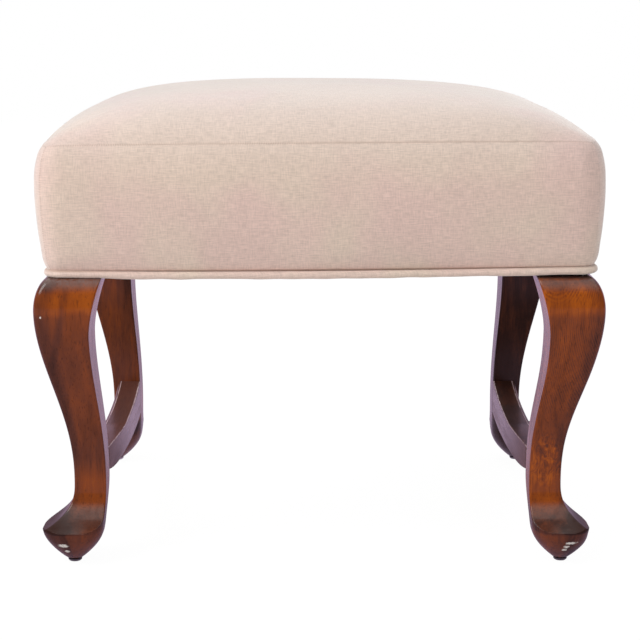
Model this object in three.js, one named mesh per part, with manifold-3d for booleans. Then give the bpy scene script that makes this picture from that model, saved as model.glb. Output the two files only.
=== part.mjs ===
// An upholstered stool on four sawn cabriole legs, in millimetres, +Z up.
// The origin is on the floor under the middle of the seat. +X is to the right and +Y to the back.
import * as THREE from "three";
import { mergeVertices } from "three/addons/utils/BufferGeometryUtils.js";
import Module from "manifold-3d";

const wasm = await Module();
wasm.setup();

// Whole stool
const width = 562; // over the knees, left to right
const depth = 445; // over the knees, front to back
const shoulderHeight = 298; // top of the part of a leg that shows
const crownRise = 48; // how far the middle of the seat stands above that seam
const gap = 0.3; // between pieces that touch
const overrun = 5; // how far a cutter runs past the face that it cuts

// Cabriole leg, measured outwards from the axis of its round foot
const kneeReach = 31;
const kneeHeight = 264;
const shoulderRoll = 17; // how far the outer faces roll in between the knee and the shoulder
const ankleHeight = 85;
const ankleSetBack = 32; // from the knee's outer face in to the ankle's
const ankleThickness = 32.5;
const innerKneeHeight = 238;
const innerKneeSwell = 10;
const innerTopReturn = 13.3; // how far the inner face comes back between its knee and the shoulder
const arrisRadius = 7; // at the knee, on the outer edge between the two faces that face out
const hipRadius = 2; // on the same edge where it runs out over the foot
const edgeRadius = 2; // the other three edges
const swellPower = 1.12; // over 1 sets the swell of the knee a little higher
const returnPower = 1.6;
const rollPower = 1.6; // over 1 sets more of the outline's points near the shoulder

// Pad foot
const footRadius = 31;
const rimHeight = 37;
const padRadius = 7.5; // flat that the glide is nailed to
const heelTuck = 2.5; // how far the inner face runs out to the foot between the ankle and the rim
const bowlPower = 1.6; // fullness of the underside
const padPower = 0.7; // under 1 sets more of the outline's points near the pad and the rim
const rimCornerShare = 0.74; // corner radius at the rim, as a share of half its width

// Glide with its nail
const glideRadius = 7;
const glideThickness = 3;
const glideEdge = 1.2;
const nailRadius = 1.4;
const nailLength = 12;
const nailTip = 3;
const nailClearance = 0.25;

// Seat rails and their tenons
const frameSetBack = 21; // from the knee's outer face in to the frame's
const frameCornerRadius = 10;
const railHeight = 68;
const railThickness = 22;
const tenonThickness = 10;
const tenonWall = 5.5; // wood left in a leg between the ends of one tenon and the side of the other
const tenonShoulder = 10;

// Corner blocks and screws
const blockReach = 58; // along each rail from the leg
const blockHeight = 45;
const screwPlaceShare = 0.62; // along the reach of the block
const screwRadius = 2;
const screwHeadRadius = 4;
const screwHeadDepth = 2.5;
const screwCrownShare = 0.8; // flat top of the head, as a share of its radius
const screwBite = 14; // into the rail
const screwTip = 5;
const screwSink = 7; // from the sloping face down to the seat of the head
const screwClearance = 0.25;

// Side stretchers and their dowels
const stretcherWidth = 26.5;
const stretcherTopHeight = 94; // at the middle
const stretcherEndRise = 13.5;
const stretcherBottomHeight = 66; // at the middle
const stretcherBottomRise = 11;
const stretcherRound = 9; // the two outer edges
const stretcherEdge = 1.5; // the two inner edges
const dipPower = 2.6;
const dowelRadius = 4;
const dowelLength = 38;
const dowelClearance = 0.25;

// Webbing and hessian
const webWidth = 50;
const webThickness = 1.6;
const webLap = 16; // end of a strip on a rail
const webPitch = 105;
const lengthCount = 3; // strips that run left to right
const crossCount = 4; // strips that run front to back
const hessianThickness = 1;
const hessianSetBack = 10; // from the frame's outer face

// Pad, cover, wadding, welt and dust cover
const padEdge = 60.45; // from the hessian up to the seam between the side panels and the top panel
const coverThickness = 1.5;
const waddingThickness = 5.5;
const waddingLift = 5; // least height of its lower edge above the crease behind the welt
const weltRadius = 4.25;
const weltSag = 2; // lowest at the middle of each side
const sideBulge = 16.2; // of the side panels beyond the frame
const sideBow = 1.5; // more of it at the middle of each side
const foldShare = 0.35; // of the welt's radius, from its top down to the crease behind it
const dustCoverThickness = 1;
const dustCoverSetBack = 4;
const crownPower = 3.8; // over 2 flattens the middle of the crown
const crownEdgePower = 0.73; // under 1 steepens its edge

// Worked out from the sizes above
const footX = width / 2 - kneeReach;
const footY = depth / 2 - kneeReach;
const ankleOuter = kneeReach - ankleSetBack;
const ankleInner = ankleOuter - ankleThickness;
const postOuter = kneeReach - frameSetBack;
const postInner = ankleInner + innerKneeSwell - innerTopReturn;
const railInner = postOuter - railThickness;
const tenonMiddle = postOuter - railThickness / 2;
const tenonLength = tenonMiddle - tenonThickness / 2 - tenonWall - postInner;
const frameX = footX + postOuter;
const frameY = footY + postOuter;
const footBottom = glideThickness + gap;
const railBottom = shoulderHeight + dustCoverThickness + 2 * gap;
const railTop = railBottom + railHeight;
const railMiddle = railBottom + railHeight / 2;
const webMiddle = railTop + gap + webThickness / 2;
const webRise = (webThickness + gap) / 2;
const hessianBottom = webMiddle + webRise + webThickness / 2 + gap;
const foamBottom = hessianBottom + hessianThickness + gap;
const seamHeight = foamBottom + padEdge;
const weltMiddle = shoulderHeight + 2 * gap + weltRadius;
const creaseHeight = weltMiddle + weltRadius * (1 - foldShare);
const waddingInset = coverThickness + gap;
const foamInset = waddingInset + waddingThickness + gap;

const { lerp, clamp, smoothstep } = THREE.MathUtils;
const point = (x, y, z) => new THREE.Vector3(x, y, z);
const corners = [
  ["front_left", -1, -1],
  ["front_right", 1, -1],
  ["rear_left", -1, 1],
  ["rear_right", 1, 1],
];

// The four corners as signs of X and Y, in turn about +Z
const turns = [
  [1, 1],
  [-1, 1],
  [-1, -1],
  [1, -1],
];

// Finishes
const finish = (color, roughness, metalness = 0) =>
  new THREE.MeshStandardMaterial({ color, roughness, metalness });
const mahogany = finish(0x74402a, 0.32);
const beech = finish(0xb98f62, 0.7);
const dowelWood = finish(0xc9a679, 0.7);
const linen = finish(0xdcc3b2, 0.92);
const weltLinen = finish(0xdcc1ac, 0.92);
const fibre = finish(0xefece4, 0.98);
const foam = finish(0xe6dcae, 0.95);
const jute = finish(0x9b7b4e, 0.95);
const hessian = finish(0xa98c5f, 0.97);
const cambric = finish(0x4a4644, 0.95);
const steel = finish(0x9a9a9c, 0.4, 0.9);

const stool = new THREE.Group();

function add(name, geometry, material, place = point(0, 0, 0), mirror = [1, 1]) {
  const mesh = new THREE.Mesh(geometry, material);
  mesh.name = name;
  mesh.position.copy(place);
  mesh.scale.set(mirror[0], mirror[1], 1);
  stool.add(mesh);
}

// Turns every face of a closed surface outwards.
function facingOut(geometry) {
  const place = geometry.attributes.position;
  const index = geometry.index.array;
  const [a, b, c] = [point(0, 0, 0), point(0, 0, 0), point(0, 0, 0)];
  let volume = 0;
  for (let i = 0; i < index.length; i += 3) {
    [a, b, c].forEach((corner, k) => corner.fromBufferAttribute(place, index[i + k]));
    volume += a.dot(b.cross(c));
  }
  if (volume < 0) index.reverse();
  return geometry;
}

// A closed solid through rings of points. A ring of one point is a pole, and a loop has no ends.
// Each four-sided face is split along its shorter diagonal, so that nested layers split alike.
// An end is closed by a strip between the first and the second half of its ring.
function loft(rings, loop = false) {
  const positions = rings.flat().flatMap((p) => [p.x, p.y, p.z]);
  const starts = [];
  rings.reduce((sum, ring) => (starts.push(sum), sum + ring.length), 0);
  const index = [];
  const steps = loop ? rings.length : rings.length - 1;
  for (let r = 0; r < steps; r++) {
    const next = (r + 1) % rings.length;
    const [here, there] = [rings[r], rings[next]];
    const [n, m] = [here.length, there.length];
    for (let i = 0; i < Math.max(n, m); i++) {
      const j = (i + 1) % Math.max(n, m);
      const [a, b] = [starts[r] + (i % n), starts[r] + (j % n)];
      const [c, d] = [starts[next] + (i % m), starts[next] + (j % m)];
      if (n === 1) index.push(b, d, c);
      else if (m === 1) index.push(a, b, c);
      else if (here[i].distanceTo(there[j]) < here[j].distanceTo(there[i])) index.push(a, b, d, a, d, c);
      else index.push(a, b, c, b, d, c);
    }
  }
  if (!loop) {
    closeEnd(index, starts[0], rings[0].length, false);
    closeEnd(index, starts.at(-1), rings.at(-1).length, true);
  }
  const geometry = new THREE.BufferGeometry();
  geometry.setAttribute("position", new THREE.Float32BufferAttribute(positions, 3));
  geometry.setIndex(index);
  return facingOut(geometry);
}

function closeEnd(index, start, count, last) {
  for (let i = 0; i < count / 2 - 1; i++) {
    const [a, b] = [start + i, start + i + 1];
    const [c, d] = [start + count - 1 - i, start + count - 2 - i];
    const strip = [a, c, b, b, c, d];
    index.push(...(last ? strip.reverse() : strip));
  }
}

// Joins and cuts
function asSolid(geometry) {
  const bare = geometry.clone();
  bare.deleteAttribute("normal");
  bare.deleteAttribute("uv");
  const merged = mergeVertices(bare);
  return new wasm.Manifold(
    new wasm.Mesh({
      numProp: 3,
      vertProperties: merged.attributes.position.array,
      triVerts: new Uint32Array(merged.index.array),
    }),
  );
}

function asGeometry(solid) {
  const mesh = solid.getMesh();
  const geometry = new THREE.BufferGeometry();
  geometry.setAttribute("position", new THREE.BufferAttribute(mesh.vertProperties, 3));
  geometry.setIndex(new THREE.BufferAttribute(mesh.triVerts, 1));
  return geometry;
}

const cut = (geometry, cutters) =>
  asGeometry(cutters.reduce((solid, c) => solid.subtract(asSolid(c)), asSolid(geometry)));
const join = (geometries) => asGeometry(geometries.map(asSolid).reduce((a, b) => a.add(b)));

function box(low, high) {
  const size = high.clone().sub(low);
  const middle = low.clone().add(high).multiplyScalar(0.5);
  return new THREE.BoxGeometry(size.x, size.y, size.z).translate(middle.x, middle.y, middle.z);
}

// A round bar between two places on one line along X, Y or Z.
function bar(from, to, radius, sides = 10) {
  const along = to.clone().sub(from);
  const middle = from.clone().add(to).multiplyScalar(0.5);
  const turn = new THREE.Quaternion().setFromUnitVectors(point(0, 1, 0), along.clone().normalize());
  return new THREE.CylinderGeometry(radius, radius, along.length(), sides)
    .applyQuaternion(turn)
    .translate(middle.x, middle.y, middle.z);
}

// Leg outline. Both pairs of faces follow the same two curves, as sawing from two sides leaves them.
function outerFace(z) {
  if (z < rimHeight) return bowlRadius(z);
  if (z < ankleHeight) {
    const down = (ankleHeight - z) / (ankleHeight - rimHeight);
    return lerp(ankleOuter, footRadius, down ** 2);
  }
  if (z < kneeHeight) {
    const up = (z - ankleHeight) / (kneeHeight - ankleHeight);
    return lerp(ankleOuter, kneeReach, smoothstep(up ** swellPower, 0, 1));
  }
  const roll = (z - kneeHeight) / (shoulderHeight - kneeHeight);
  return kneeReach - shoulderRoll * (1 - Math.sqrt(Math.max(0, 1 - roll ** 2)));
}

function innerFace(z) {
  if (z < rimHeight) return -bowlRadius(z);
  if (z < ankleHeight) {
    const down = (ankleHeight - z) / (ankleHeight - rimHeight);
    return ankleInner + heelTuck * down ** 2;
  }
  if (z < innerKneeHeight) {
    const up = (z - ankleHeight) / (innerKneeHeight - ankleHeight);
    return ankleInner + innerKneeSwell * smoothstep(up ** swellPower, 0, 1);
  }
  const back = (z - innerKneeHeight) / (shoulderHeight - innerKneeHeight);
  return ankleInner + innerKneeSwell - innerTopReturn * back ** returnPower;
}

// The turned underside swells from the flat pad to the rim.
function bowlRadius(z) {
  const up = clamp((z - footBottom) / (rimHeight - footBottom), 0, 1);
  return lerp(padRadius, footRadius, 1 - (1 - up) ** bowlPower);
}

// A section of the leg: a round-cornered square that the two sawn outer faces cut back. Sizes are
// distances from the foot's axis, first inwards and then outwards. Easing rounds the edges that are left.
const cornerSteps = 5;

function section(z, sawn, turned, cornerRadii, easings) {
  const ring = [];
  turns.forEach(([sx, sy], corner) => {
    const ease = easings[corner === 0 ? 1 : 0];
    const radius = Math.max(cornerRadii[corner === 0 ? 1 : 0], ease);
    const [faceX, faceY] = [sx, sy].map((sign) => sawn[sign > 0 ? 1 : 0] - ease);
    const [middleX, middleY] = [sx, sy].map((sign) => turned[sign > 0 ? 1 : 0] - radius);
    const bend = radius - ease;
    const beside = (away) => Math.sqrt(Math.max(0, bend ** 2 - Math.max(0, away) ** 2));
    for (let i = 0; i <= cornerSteps; i++) {
      const angle = (corner + i / cornerSteps) * (Math.PI / 2);
      const [c, s] = [Math.abs(Math.cos(angle)), Math.abs(Math.sin(angle))];
      let [x, y] = [middleX + bend * c, middleY + bend * s];
      if (x > faceX) [x, y] = [faceX, Math.min(faceY, middleY + beside(faceX - middleX))];
      else if (y > faceY) [x, y] = [Math.min(faceX, middleX + beside(faceY - middleY)), faceY];
      ring.push(point(sx * (x + ease * c), sy * (y + ease * s), z));
    }
  });
  return ring;
}

function legRing(z) {
  const faces = [-innerFace(z), outerFace(z)];
  const rimCorner = footRadius * rimCornerShare;
  if (z < rimHeight) {
    const up = (z - footBottom) / (rimHeight - footBottom);
    const radius = faces[1] * lerp(1, rimCornerShare, up ** 2);
    return section(z, faces, faces, [radius, radius], [0, 0]);
  }
  const easings = [edgeRadius, lerp(hipRadius, arrisRadius, smoothstep(z, rimHeight, kneeHeight))];
  if (z > ankleHeight) return section(z, faces, faces, easings, easings);
  const inside = lerp(rimCorner, edgeRadius, smoothstep(z, rimHeight, ankleHeight));
  return section(z, faces, [faces[0], footRadius], [inside, rimCorner], easings);
}

// Spans of the leg from the pad up: both ends, how many rings, and how they crowd towards the top.
const legSpans = [
  [footBottom, rimHeight, 5, padPower],
  [rimHeight, ankleHeight, 7, padPower],
  [ankleHeight, innerKneeHeight, 7, 1],
  [innerKneeHeight, kneeHeight, 2, 1],
  [kneeHeight, shoulderHeight, 5, rollPower],
];

function legBlank() {
  const rings = [];
  for (const [from, to, count, power] of legSpans)
    for (let i = 0; i < count; i++) rings.push(legRing(lerp(to, from, (1 - i / count) ** power)));
  rings.push(legRing(shoulderHeight));
  const postFaces = [-postInner, postOuter];
  const postRadii = [edgeRadius, frameCornerRadius];
  const post = (z) => section(z, postFaces, postFaces, postRadii, postRadii);
  rings.push(post(shoulderHeight), post(railTop));
  return loft(rings);
}

// Two mortises in the inner faces of the post, the dowel's hole and the nail's.
function legCuts() {
  const wall = tenonThickness / 2 + gap;
  const [low, high] = [railBottom + tenonShoulder - gap, railTop - tenonShoulder + gap];
  const inside = postInner + tenonLength + gap;
  const mortises = [
    box(point(postInner - overrun, tenonMiddle - wall, low), point(inside, tenonMiddle + wall, high)),
    box(point(tenonMiddle - wall, postInner - overrun, low), point(tenonMiddle + wall, inside, high)),
  ];
  const dowelX = ankleInner + stretcherWidth / 2;
  const depthInLeg = ankleInner + dowelLength / 2 + gap;
  const dowelHole = bar(
    point(dowelX, ankleInner - overrun, dowelHeight),
    point(dowelX, depthInLeg, dowelHeight),
    dowelRadius + dowelClearance,
  );
  const nailHole = bar(
    point(0, 0, footBottom - overrun),
    point(0, 0, glideThickness + nailLength + gap),
    nailRadius + nailClearance,
  );
  return [...mortises, dowelHole, nailHole];
}

// Side stretcher: a bar that dips in the middle, flush with the inner faces of its two legs.
const stretcherHalf = footY + ankleInner - gap;
const stretcherInner = footX + ankleInner;
const stretcherMiddle = stretcherInner + stretcherWidth / 2;
const dip = (y) => Math.abs(y / stretcherHalf) ** dipPower;
const stretcherTop = (y) => stretcherTopHeight + stretcherEndRise * dip(y);
const stretcherBottom = (y) => stretcherBottomHeight + stretcherBottomRise * dip(y);
const dowelHeight = (stretcherTop(stretcherHalf) + stretcherBottom(stretcherHalf)) / 2;

function stretcher() {
  const outer = stretcherInner + stretcherWidth;
  const rings = [];
  const steps = 14;
  for (let i = 0; i <= steps; i++) {
    const y = lerp(-stretcherHalf, stretcherHalf, i / steps);
    const [top, bottom] = [stretcherTop(y), stretcherBottom(y)];
    const ring = [];
    const round = (x, z, radius, start, count) => {
      for (let k = 0; k <= count; k++) {
        const angle = (start + k / count) * (Math.PI / 2);
        ring.push(point(x + radius * Math.cos(angle), y, z + radius * Math.sin(angle)));
      }
    };
    round(outer - stretcherRound, top - stretcherRound, stretcherRound, 0, 4);
    round(stretcherInner + stretcherEdge, top - stretcherEdge, stretcherEdge, 1, 2);
    round(stretcherInner + stretcherEdge, bottom + stretcherEdge, stretcherEdge, 2, 2);
    round(outer - stretcherRound, bottom + stretcherRound, stretcherRound, 3, 4);
    rings.push(ring);
  }
  const hole = (end) =>
    bar(
      point(stretcherMiddle, end * (stretcherHalf + overrun), dowelHeight),
      point(stretcherMiddle, end * (stretcherHalf - dowelLength / 2), dowelHeight),
      dowelRadius + dowelClearance,
    );
  return cut(loft(rings), [hole(-1), hole(1)]);
}

const dowel = () =>
  bar(point(0, gap - dowelLength / 2, 0), point(0, dowelLength / 2 - gap, 0), dowelRadius);

// Seat rail along X at the origin of its own frame: outer face at +Y, with a tenon at each end.
function rail(halfLength) {
  const thickness = railThickness / 2;
  const tenon = tenonThickness / 2;
  const body = box(
    point(-halfLength, -thickness, railBottom),
    point(halfLength, thickness, railTop),
  );
  const reach = halfLength + tenonLength;
  const tongue = box(
    point(-reach, -tenon, railBottom + tenonShoulder),
    point(reach, tenon, railTop - tenonShoulder),
  );
  const fromEnd = blockReach * screwPlaceShare;
  const hole = (end) =>
    bar(
      point(end * (halfLength - fromEnd), -thickness - overrun, railMiddle),
      point(end * (halfLength - fromEnd), -thickness + screwBite + gap, railMiddle),
      screwRadius + screwClearance,
    );
  return cut(join([body, tongue]), [hole(-1), hole(1)]);
}

// Corner block in the frame of the leg: it fits round the post and against both rails.
const blockFace = railInner - gap;
const blockNotch = postInner - gap;
const blockEnd = blockNotch - blockReach;
const screwPlace = blockNotch - blockReach * screwPlaceShare;
const screwSeat = blockFace + blockEnd - screwPlace + screwSink;

function cornerBlock() {
  const outline = new THREE.Shape([
    new THREE.Vector2(blockNotch, blockFace),
    new THREE.Vector2(blockEnd, blockFace),
    new THREE.Vector2(blockFace, blockEnd),
    new THREE.Vector2(blockFace, blockNotch),
    new THREE.Vector2(blockNotch, blockNotch),
  ]);
  const blank = new THREE.ExtrudeGeometry(outline, { depth: blockHeight, bevelEnabled: false });
  blank.translate(0, 0, railMiddle - blockHeight / 2);
  const along = (s) => point(screwPlace, s, railMiddle);
  const across = (s) => point(s, screwPlace, railMiddle);
  const cutters = [along, across].flatMap((place) => [
    bar(place(blockEnd), place(blockFace + overrun), screwRadius + screwClearance),
    bar(place(blockEnd), place(screwSeat), screwHeadRadius + screwClearance),
  ]);
  return cut(blank, cutters);
}

// Screw along +Y from the seat of its head.
const screwLength = blockFace - screwSeat + gap + screwBite;

function screw() {
  const tipStart = screwLength - screwTip;
  const profile = [
    [0, -screwHeadDepth],
    [screwHeadRadius * screwCrownShare, -screwHeadDepth],
    [screwHeadRadius, -screwHeadDepth / 2],
    [screwHeadRadius, -gap],
    [screwRadius, -gap],
    [screwRadius, tipStart],
    [0, screwLength],
  ].map(([x, y]) => new THREE.Vector2(x, y));
  return new THREE.LatheGeometry(profile, 8);
}

function glide() {
  const profile = [
    [0, 0],
    [glideRadius - glideEdge, 0],
    [glideRadius, glideEdge],
    [glideRadius, glideThickness - glideEdge / 2],
    [glideRadius - glideEdge, glideThickness],
    [nailRadius, glideThickness],
    [nailRadius, glideThickness + nailLength - nailTip],
    [0, glideThickness + nailLength],
  ].map(([x, y]) => new THREE.Vector2(x, y));
  return new THREE.LatheGeometry(profile, 14).rotateX(Math.PI / 2);
}

// Webbing strip along Y, over and under the strips that it crosses. Its first crossing is over.
function strip(halfLength, crossings, first) {
  const places = [
    [-halfLength - webLap, 0],
    [-halfLength, 0],
  ];
  crossings.forEach((middle, i) => {
    const side = (i + first) % 2 ? -webRise : webRise;
    places.push([middle - webWidth / 2 - gap, side], [middle + webWidth / 2 + gap, side]);
  });
  places.push([halfLength, 0], [halfLength + webLap, 0]);
  const [half, thin] = [webWidth / 2, webThickness / 2];
  const ring = ([y, lift]) => [
    point(half, y, webMiddle + lift + thin),
    point(-half, y, webMiddle + lift + thin),
    point(-half, y, webMiddle + lift - thin),
    point(half, y, webMiddle + lift - thin),
  ];
  return loft(places.map(ring));
}

const spread = (count) => Array.from({ length: count }, (_, i) => (i - (count - 1) / 2) * webPitch);

const sideShares = [0.07, 0.2, 0.5, 0.8, 0.93]; // places of stations along a straight side

// Skin of the seat. A station is a place on the frame's outline with its direction out, and its bow
// runs from 0 at the corners to 1 at the middle of a side.
function seatStations() {
  const [cornerX, cornerY] = [frameX - frameCornerRadius, frameY - frameCornerRadius];
  const stations = [];
  turns.forEach(([sx, sy], quarter) => {
    for (let i = 0; i <= 4; i++) {
      const angle = (quarter + i / 4) * (Math.PI / 2);
      const out = point(Math.cos(angle), Math.sin(angle), 0);
      const place = point(sx * cornerX, sy * cornerY, 0).addScaledVector(out, frameCornerRadius);
      stations.push({ place, out, bow: 0 });
    }
    const [nx, ny] = turns[(quarter + 1) % 4];
    const out = stations.at(-1).out;
    const from = stations.at(-1).place;
    const to = point(nx * cornerX, ny * cornerY, 0).addScaledVector(out, frameCornerRadius);
    for (const share of sideShares)
      stations.push({ place: from.clone().lerp(to, share), out, bow: 1 - (2 * share - 1) ** 2 });
  });
  return stations;
}

const stations = seatStations();

// Side profile of the cover: shares of the height from crease to seam, and of the side's bulge.
const heightShares = [0, 0.03, 0.065, 0.2, 0.43, 0.68, 0.86, 0.96, 1];
const bulgeShares = [0, 0.24, 0.42, 0.64, 0.87, 1, 0.9, 0.6, 0.25];
const bulgeCurve = new THREE.CubicInterpolant(heightShares, bulgeShares, 1);
const sideHeight = seamHeight - creaseHeight;

// A row of the skin round the sides, or of a layer at a depth inside it. Depth is taken off sideways,
// and over the foam it is taken off from above as well, in full at the seam.
function sideRow(z, depthInside) {
  const share = clamp((z - creaseHeight) / sideHeight, 0, 1);
  const bulge = bulgeCurve.evaluate(share)[0];
  const drop = depthInside * clamp((z - foamBottom) / (seamHeight - foamBottom), 0, 1);
  return stations.map(({ place, out, bow }) => {
    const reach = gap + coverThickness + bulge * (sideBulge + sideBow * bow) - depthInside;
    return place.clone().addScaledVector(out, reach).setZ(z - drop);
  });
}

// The crown is flat over the middle and falls away to the seam on all four sides.
function crownRow(share, depthInside) {
  const seam = sideRow(seamHeight, depthInside);
  const [seamX, seamY] = [Math.max(...seam.map((p) => p.x)), Math.max(...seam.map((p) => p.y))];
  return seam.map((p) => {
    const [x, y] = [p.x * share, p.y * share];
    const fall = (1 - Math.abs(x / seamX) ** crownPower) * (1 - Math.abs(y / seamY) ** crownPower);
    return point(x, y, p.z + crownRise * fall ** crownEdgePower);
  });
}

const lowShares = [0.04, 0.12, 0.5]; // of the height from the crease to the underside of the foam
const highShares = [0.4, 0.7, 0.88]; // of the height from there to the seam
const crownShares = [0.985, 0.96, 0.92, 0.85, 0.72, 0.52, 0.28]; // of the way from the middle to the seam
const sideHeights = [
  railBottom,
  creaseHeight,
  ...lowShares.map((s) => lerp(creaseHeight, foamBottom, s)),
  foamBottom,
  ...highShares.map((s) => lerp(foamBottom, seamHeight, s)),
  seamHeight - gap,
];
const waddingRow = sideHeights.findIndex((z) => z > creaseHeight + waddingLift);
const foamRow = sideHeights.indexOf(foamBottom);

const crownRows = (depthInside) => [
  sideRow(seamHeight, depthInside),
  ...crownShares.map((share) => crownRow(share, depthInside)),
  [point(0, 0, seamHeight + crownRise - depthInside)],
];
const sideRows = (first, depthInside) =>
  sideHeights.slice(first).map((z) => sideRow(z, depthInside));

const topPanel = () => loft([...crownRows(coverThickness).reverse(), ...crownRows(0)]);

// Wadding: an even layer over the foam, which fills the space between the cover and the frame below it.
function waddingLayer() {
  const inside = waddingInset + waddingThickness;
  const frameFace = (z) =>
    stations.map(({ place, out }) => place.clone().addScaledVector(out, gap).setZ(z));
  return loft([
    ...crownRows(inside).reverse(),
    ...sideRows(foamRow, inside).reverse(),
    ...sideHeights.slice(waddingRow, foamRow).map(frameFace).reverse(),
    ...sideRows(waddingRow, waddingInset),
    ...crownRows(waddingInset),
  ]);
}

const foamPad = () => loft([...sideRows(foamRow, foamInset), ...crownRows(foamInset)]);

// Side panel between two corner seams, which lie at the middle one of each corner's five stations.
function sidePanel(quarter) {
  const perQuarter = stations.length / 4;
  const first = quarter * perQuarter + 2;
  const [outside, inside] = [sideRows(0, 0), sideRows(0, coverThickness)];
  const rings = [];
  for (let k = 0; k <= perQuarter; k++) {
    const i = (first + k) % stations.length;
    const { out } = stations[i];
    const along = point(-out.y, out.x, 0);
    const shift = k === 0 ? gap / 2 : k === perQuarter ? -gap / 2 : 0;
    const column = (rows) => rows.map((row) => row[i].clone().addScaledVector(along, shift));
    rings.push([...column(outside), ...column(inside).reverse()]);
  }
  return loft(rings);
}

// Welt: a round roll against the cover, a little lower at the middle of each side.
function welt() {
  const rings = stations.map(({ place, out, bow }) => {
    const middle = place.clone().addScaledVector(out, coverThickness + 2 * gap + weltRadius);
    middle.z = weltMiddle - weltSag * bow;
    const ring = [];
    for (let k = 0; k < 8; k++) {
      const angle = (k / 8) * 2 * Math.PI;
      const spot = middle.clone().addScaledVector(out, weltRadius * Math.cos(angle));
      ring.push(spot.setZ(middle.z + weltRadius * Math.sin(angle)));
    }
    return ring;
  });
  return loft(rings, true);
}

// Dust cover: a sheet under the rails, cut out round the four posts.
function dustCover() {
  const [x, y] = [frameX - dustCoverSetBack, frameY - dustCoverSetBack];
  const [notchX, notchY] = [footX + postInner - gap, footY + postInner - gap];
  const outline = turns.flatMap(([sx, sy]) => {
    const notch = [
      [sx * x, sy * notchY],
      [sx * notchX, sy * notchY],
      [sx * notchX, sy * y],
    ];
    return sx === sy ? notch : notch.reverse();
  });
  const shape = new THREE.Shape(outline.map(([px, py]) => new THREE.Vector2(px, py)));
  const sheet = new THREE.ExtrudeGeometry(shape, { depth: dustCoverThickness, bevelEnabled: false });
  return sheet.translate(0, 0, railBottom - gap - dustCoverThickness);
}

// Assembly
const leg = cut(legBlank(), legCuts());
const block = cornerBlock();
for (const [name, sx, sy] of corners) {
  const foot = point(sx * footX, sy * footY, 0);
  add(`leg_${name}`, leg, mahogany, foot, [sx, sy]);
  add(`glide_${name}`, glide(), steel, foot);
  add(`corner_block_${name}`, block, beech, foot, [sx, sy]);
  const intoLong = foot.clone().add(point(sx * screwPlace, sy * screwSeat, railMiddle));
  const intoSide = foot.clone().add(point(sx * screwSeat, sy * screwPlace, railMiddle));
  add(`block_screw_${name}_long`, screw().rotateZ(sy > 0 ? 0 : Math.PI), steel, intoLong);
  add(`block_screw_${name}_side`, screw().rotateZ((-sx * Math.PI) / 2), steel, intoSide);
  const joint = point(sx * stretcherMiddle, sy * (footY + ankleInner - gap / 2), dowelHeight);
  add(`stretcher_dowel_${name}`, dowel(), dowelWood, joint);
}

add("stretcher_left", stretcher(), mahogany, point(0, 0, 0), [-1, 1]);
add("stretcher_right", stretcher(), mahogany);

const longRail = rail(footX + postInner - gap);
const sideRail = rail(footY + postInner - gap);
const railMiddleX = frameX - railThickness / 2;
const railMiddleY = frameY - railThickness / 2;
add("rail_front", longRail.clone().rotateZ(Math.PI), beech, point(0, -railMiddleY, 0));
add("rail_rear", longRail, beech, point(0, railMiddleY, 0));
add("rail_left", sideRail.clone().rotateZ(Math.PI / 2), beech, point(-railMiddleX, 0, 0));
add("rail_right", sideRail.clone().rotateZ(-Math.PI / 2), beech, point(railMiddleX, 0, 0));

const openX = frameX - railThickness;
const openY = frameY - railThickness;
spread(crossCount).forEach((x, i) =>
  add(`webbing_cross_${i + 1}`, strip(openY, spread(lengthCount), i), jute, point(x, 0, 0)),
);
spread(lengthCount).forEach((y, i) => {
  const length = strip(openX, spread(crossCount), i + 1).rotateZ(-Math.PI / 2);
  add(`webbing_length_${i + 1}`, length, jute, point(0, y, 0));
});

const hessianLow = point(hessianSetBack - frameX, hessianSetBack - frameY, hessianBottom);
const hessianHigh = point(frameX - hessianSetBack, frameY - hessianSetBack, foamBottom - gap);
add("hessian", box(hessianLow, hessianHigh), hessian);
add("foam_pad", foamPad(), foam);
add("wadding", waddingLayer(), fibre);
add("cover_top", topPanel(), linen);
["rear", "left", "front", "right"].forEach((name, quarter) =>
  add(`cover_${name}`, sidePanel(quarter), linen),
);
add("welt", welt(), weltLinen);
add("dust_cover", dustCover(), cambric);

export default stool;
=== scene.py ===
# %% [markdown]
# # An upholstered stool on four cabriole legs
# A furniture maker saws and turns the legs, joins them to a frame, and an upholsterer covers the seat.
# This lesson follows the same order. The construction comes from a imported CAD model, which holds every
# piece at its real place and size. Blender adds what CAD leaves out: fine surfaces, cloth and finishes.
# Everything is in metres, with the floor at zero and the front of the stool towards -Y.

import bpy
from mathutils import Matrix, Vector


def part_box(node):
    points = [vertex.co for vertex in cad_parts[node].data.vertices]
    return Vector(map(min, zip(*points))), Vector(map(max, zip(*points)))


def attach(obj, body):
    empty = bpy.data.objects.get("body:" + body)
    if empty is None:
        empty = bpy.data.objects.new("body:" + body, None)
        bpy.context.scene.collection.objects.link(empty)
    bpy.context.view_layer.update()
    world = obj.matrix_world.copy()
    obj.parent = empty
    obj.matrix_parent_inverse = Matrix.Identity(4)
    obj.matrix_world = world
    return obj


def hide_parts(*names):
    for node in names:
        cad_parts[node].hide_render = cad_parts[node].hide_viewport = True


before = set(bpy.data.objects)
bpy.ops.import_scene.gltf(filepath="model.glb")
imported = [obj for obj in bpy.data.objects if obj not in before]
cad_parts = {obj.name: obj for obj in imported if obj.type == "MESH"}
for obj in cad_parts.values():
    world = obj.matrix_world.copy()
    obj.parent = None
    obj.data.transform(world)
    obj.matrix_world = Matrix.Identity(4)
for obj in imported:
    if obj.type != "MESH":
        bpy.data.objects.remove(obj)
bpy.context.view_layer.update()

# %% [markdown]
# The libraries come next. bmesh makes and edits meshes, numpy handles long rows of numbers, and Vector
# is a place or a direction in space.

# %% Libraries
import math

import bmesh
import bpy
import numpy as np
from mathutils import Vector, noise

print("Blender", bpy.app.version_string)

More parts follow.
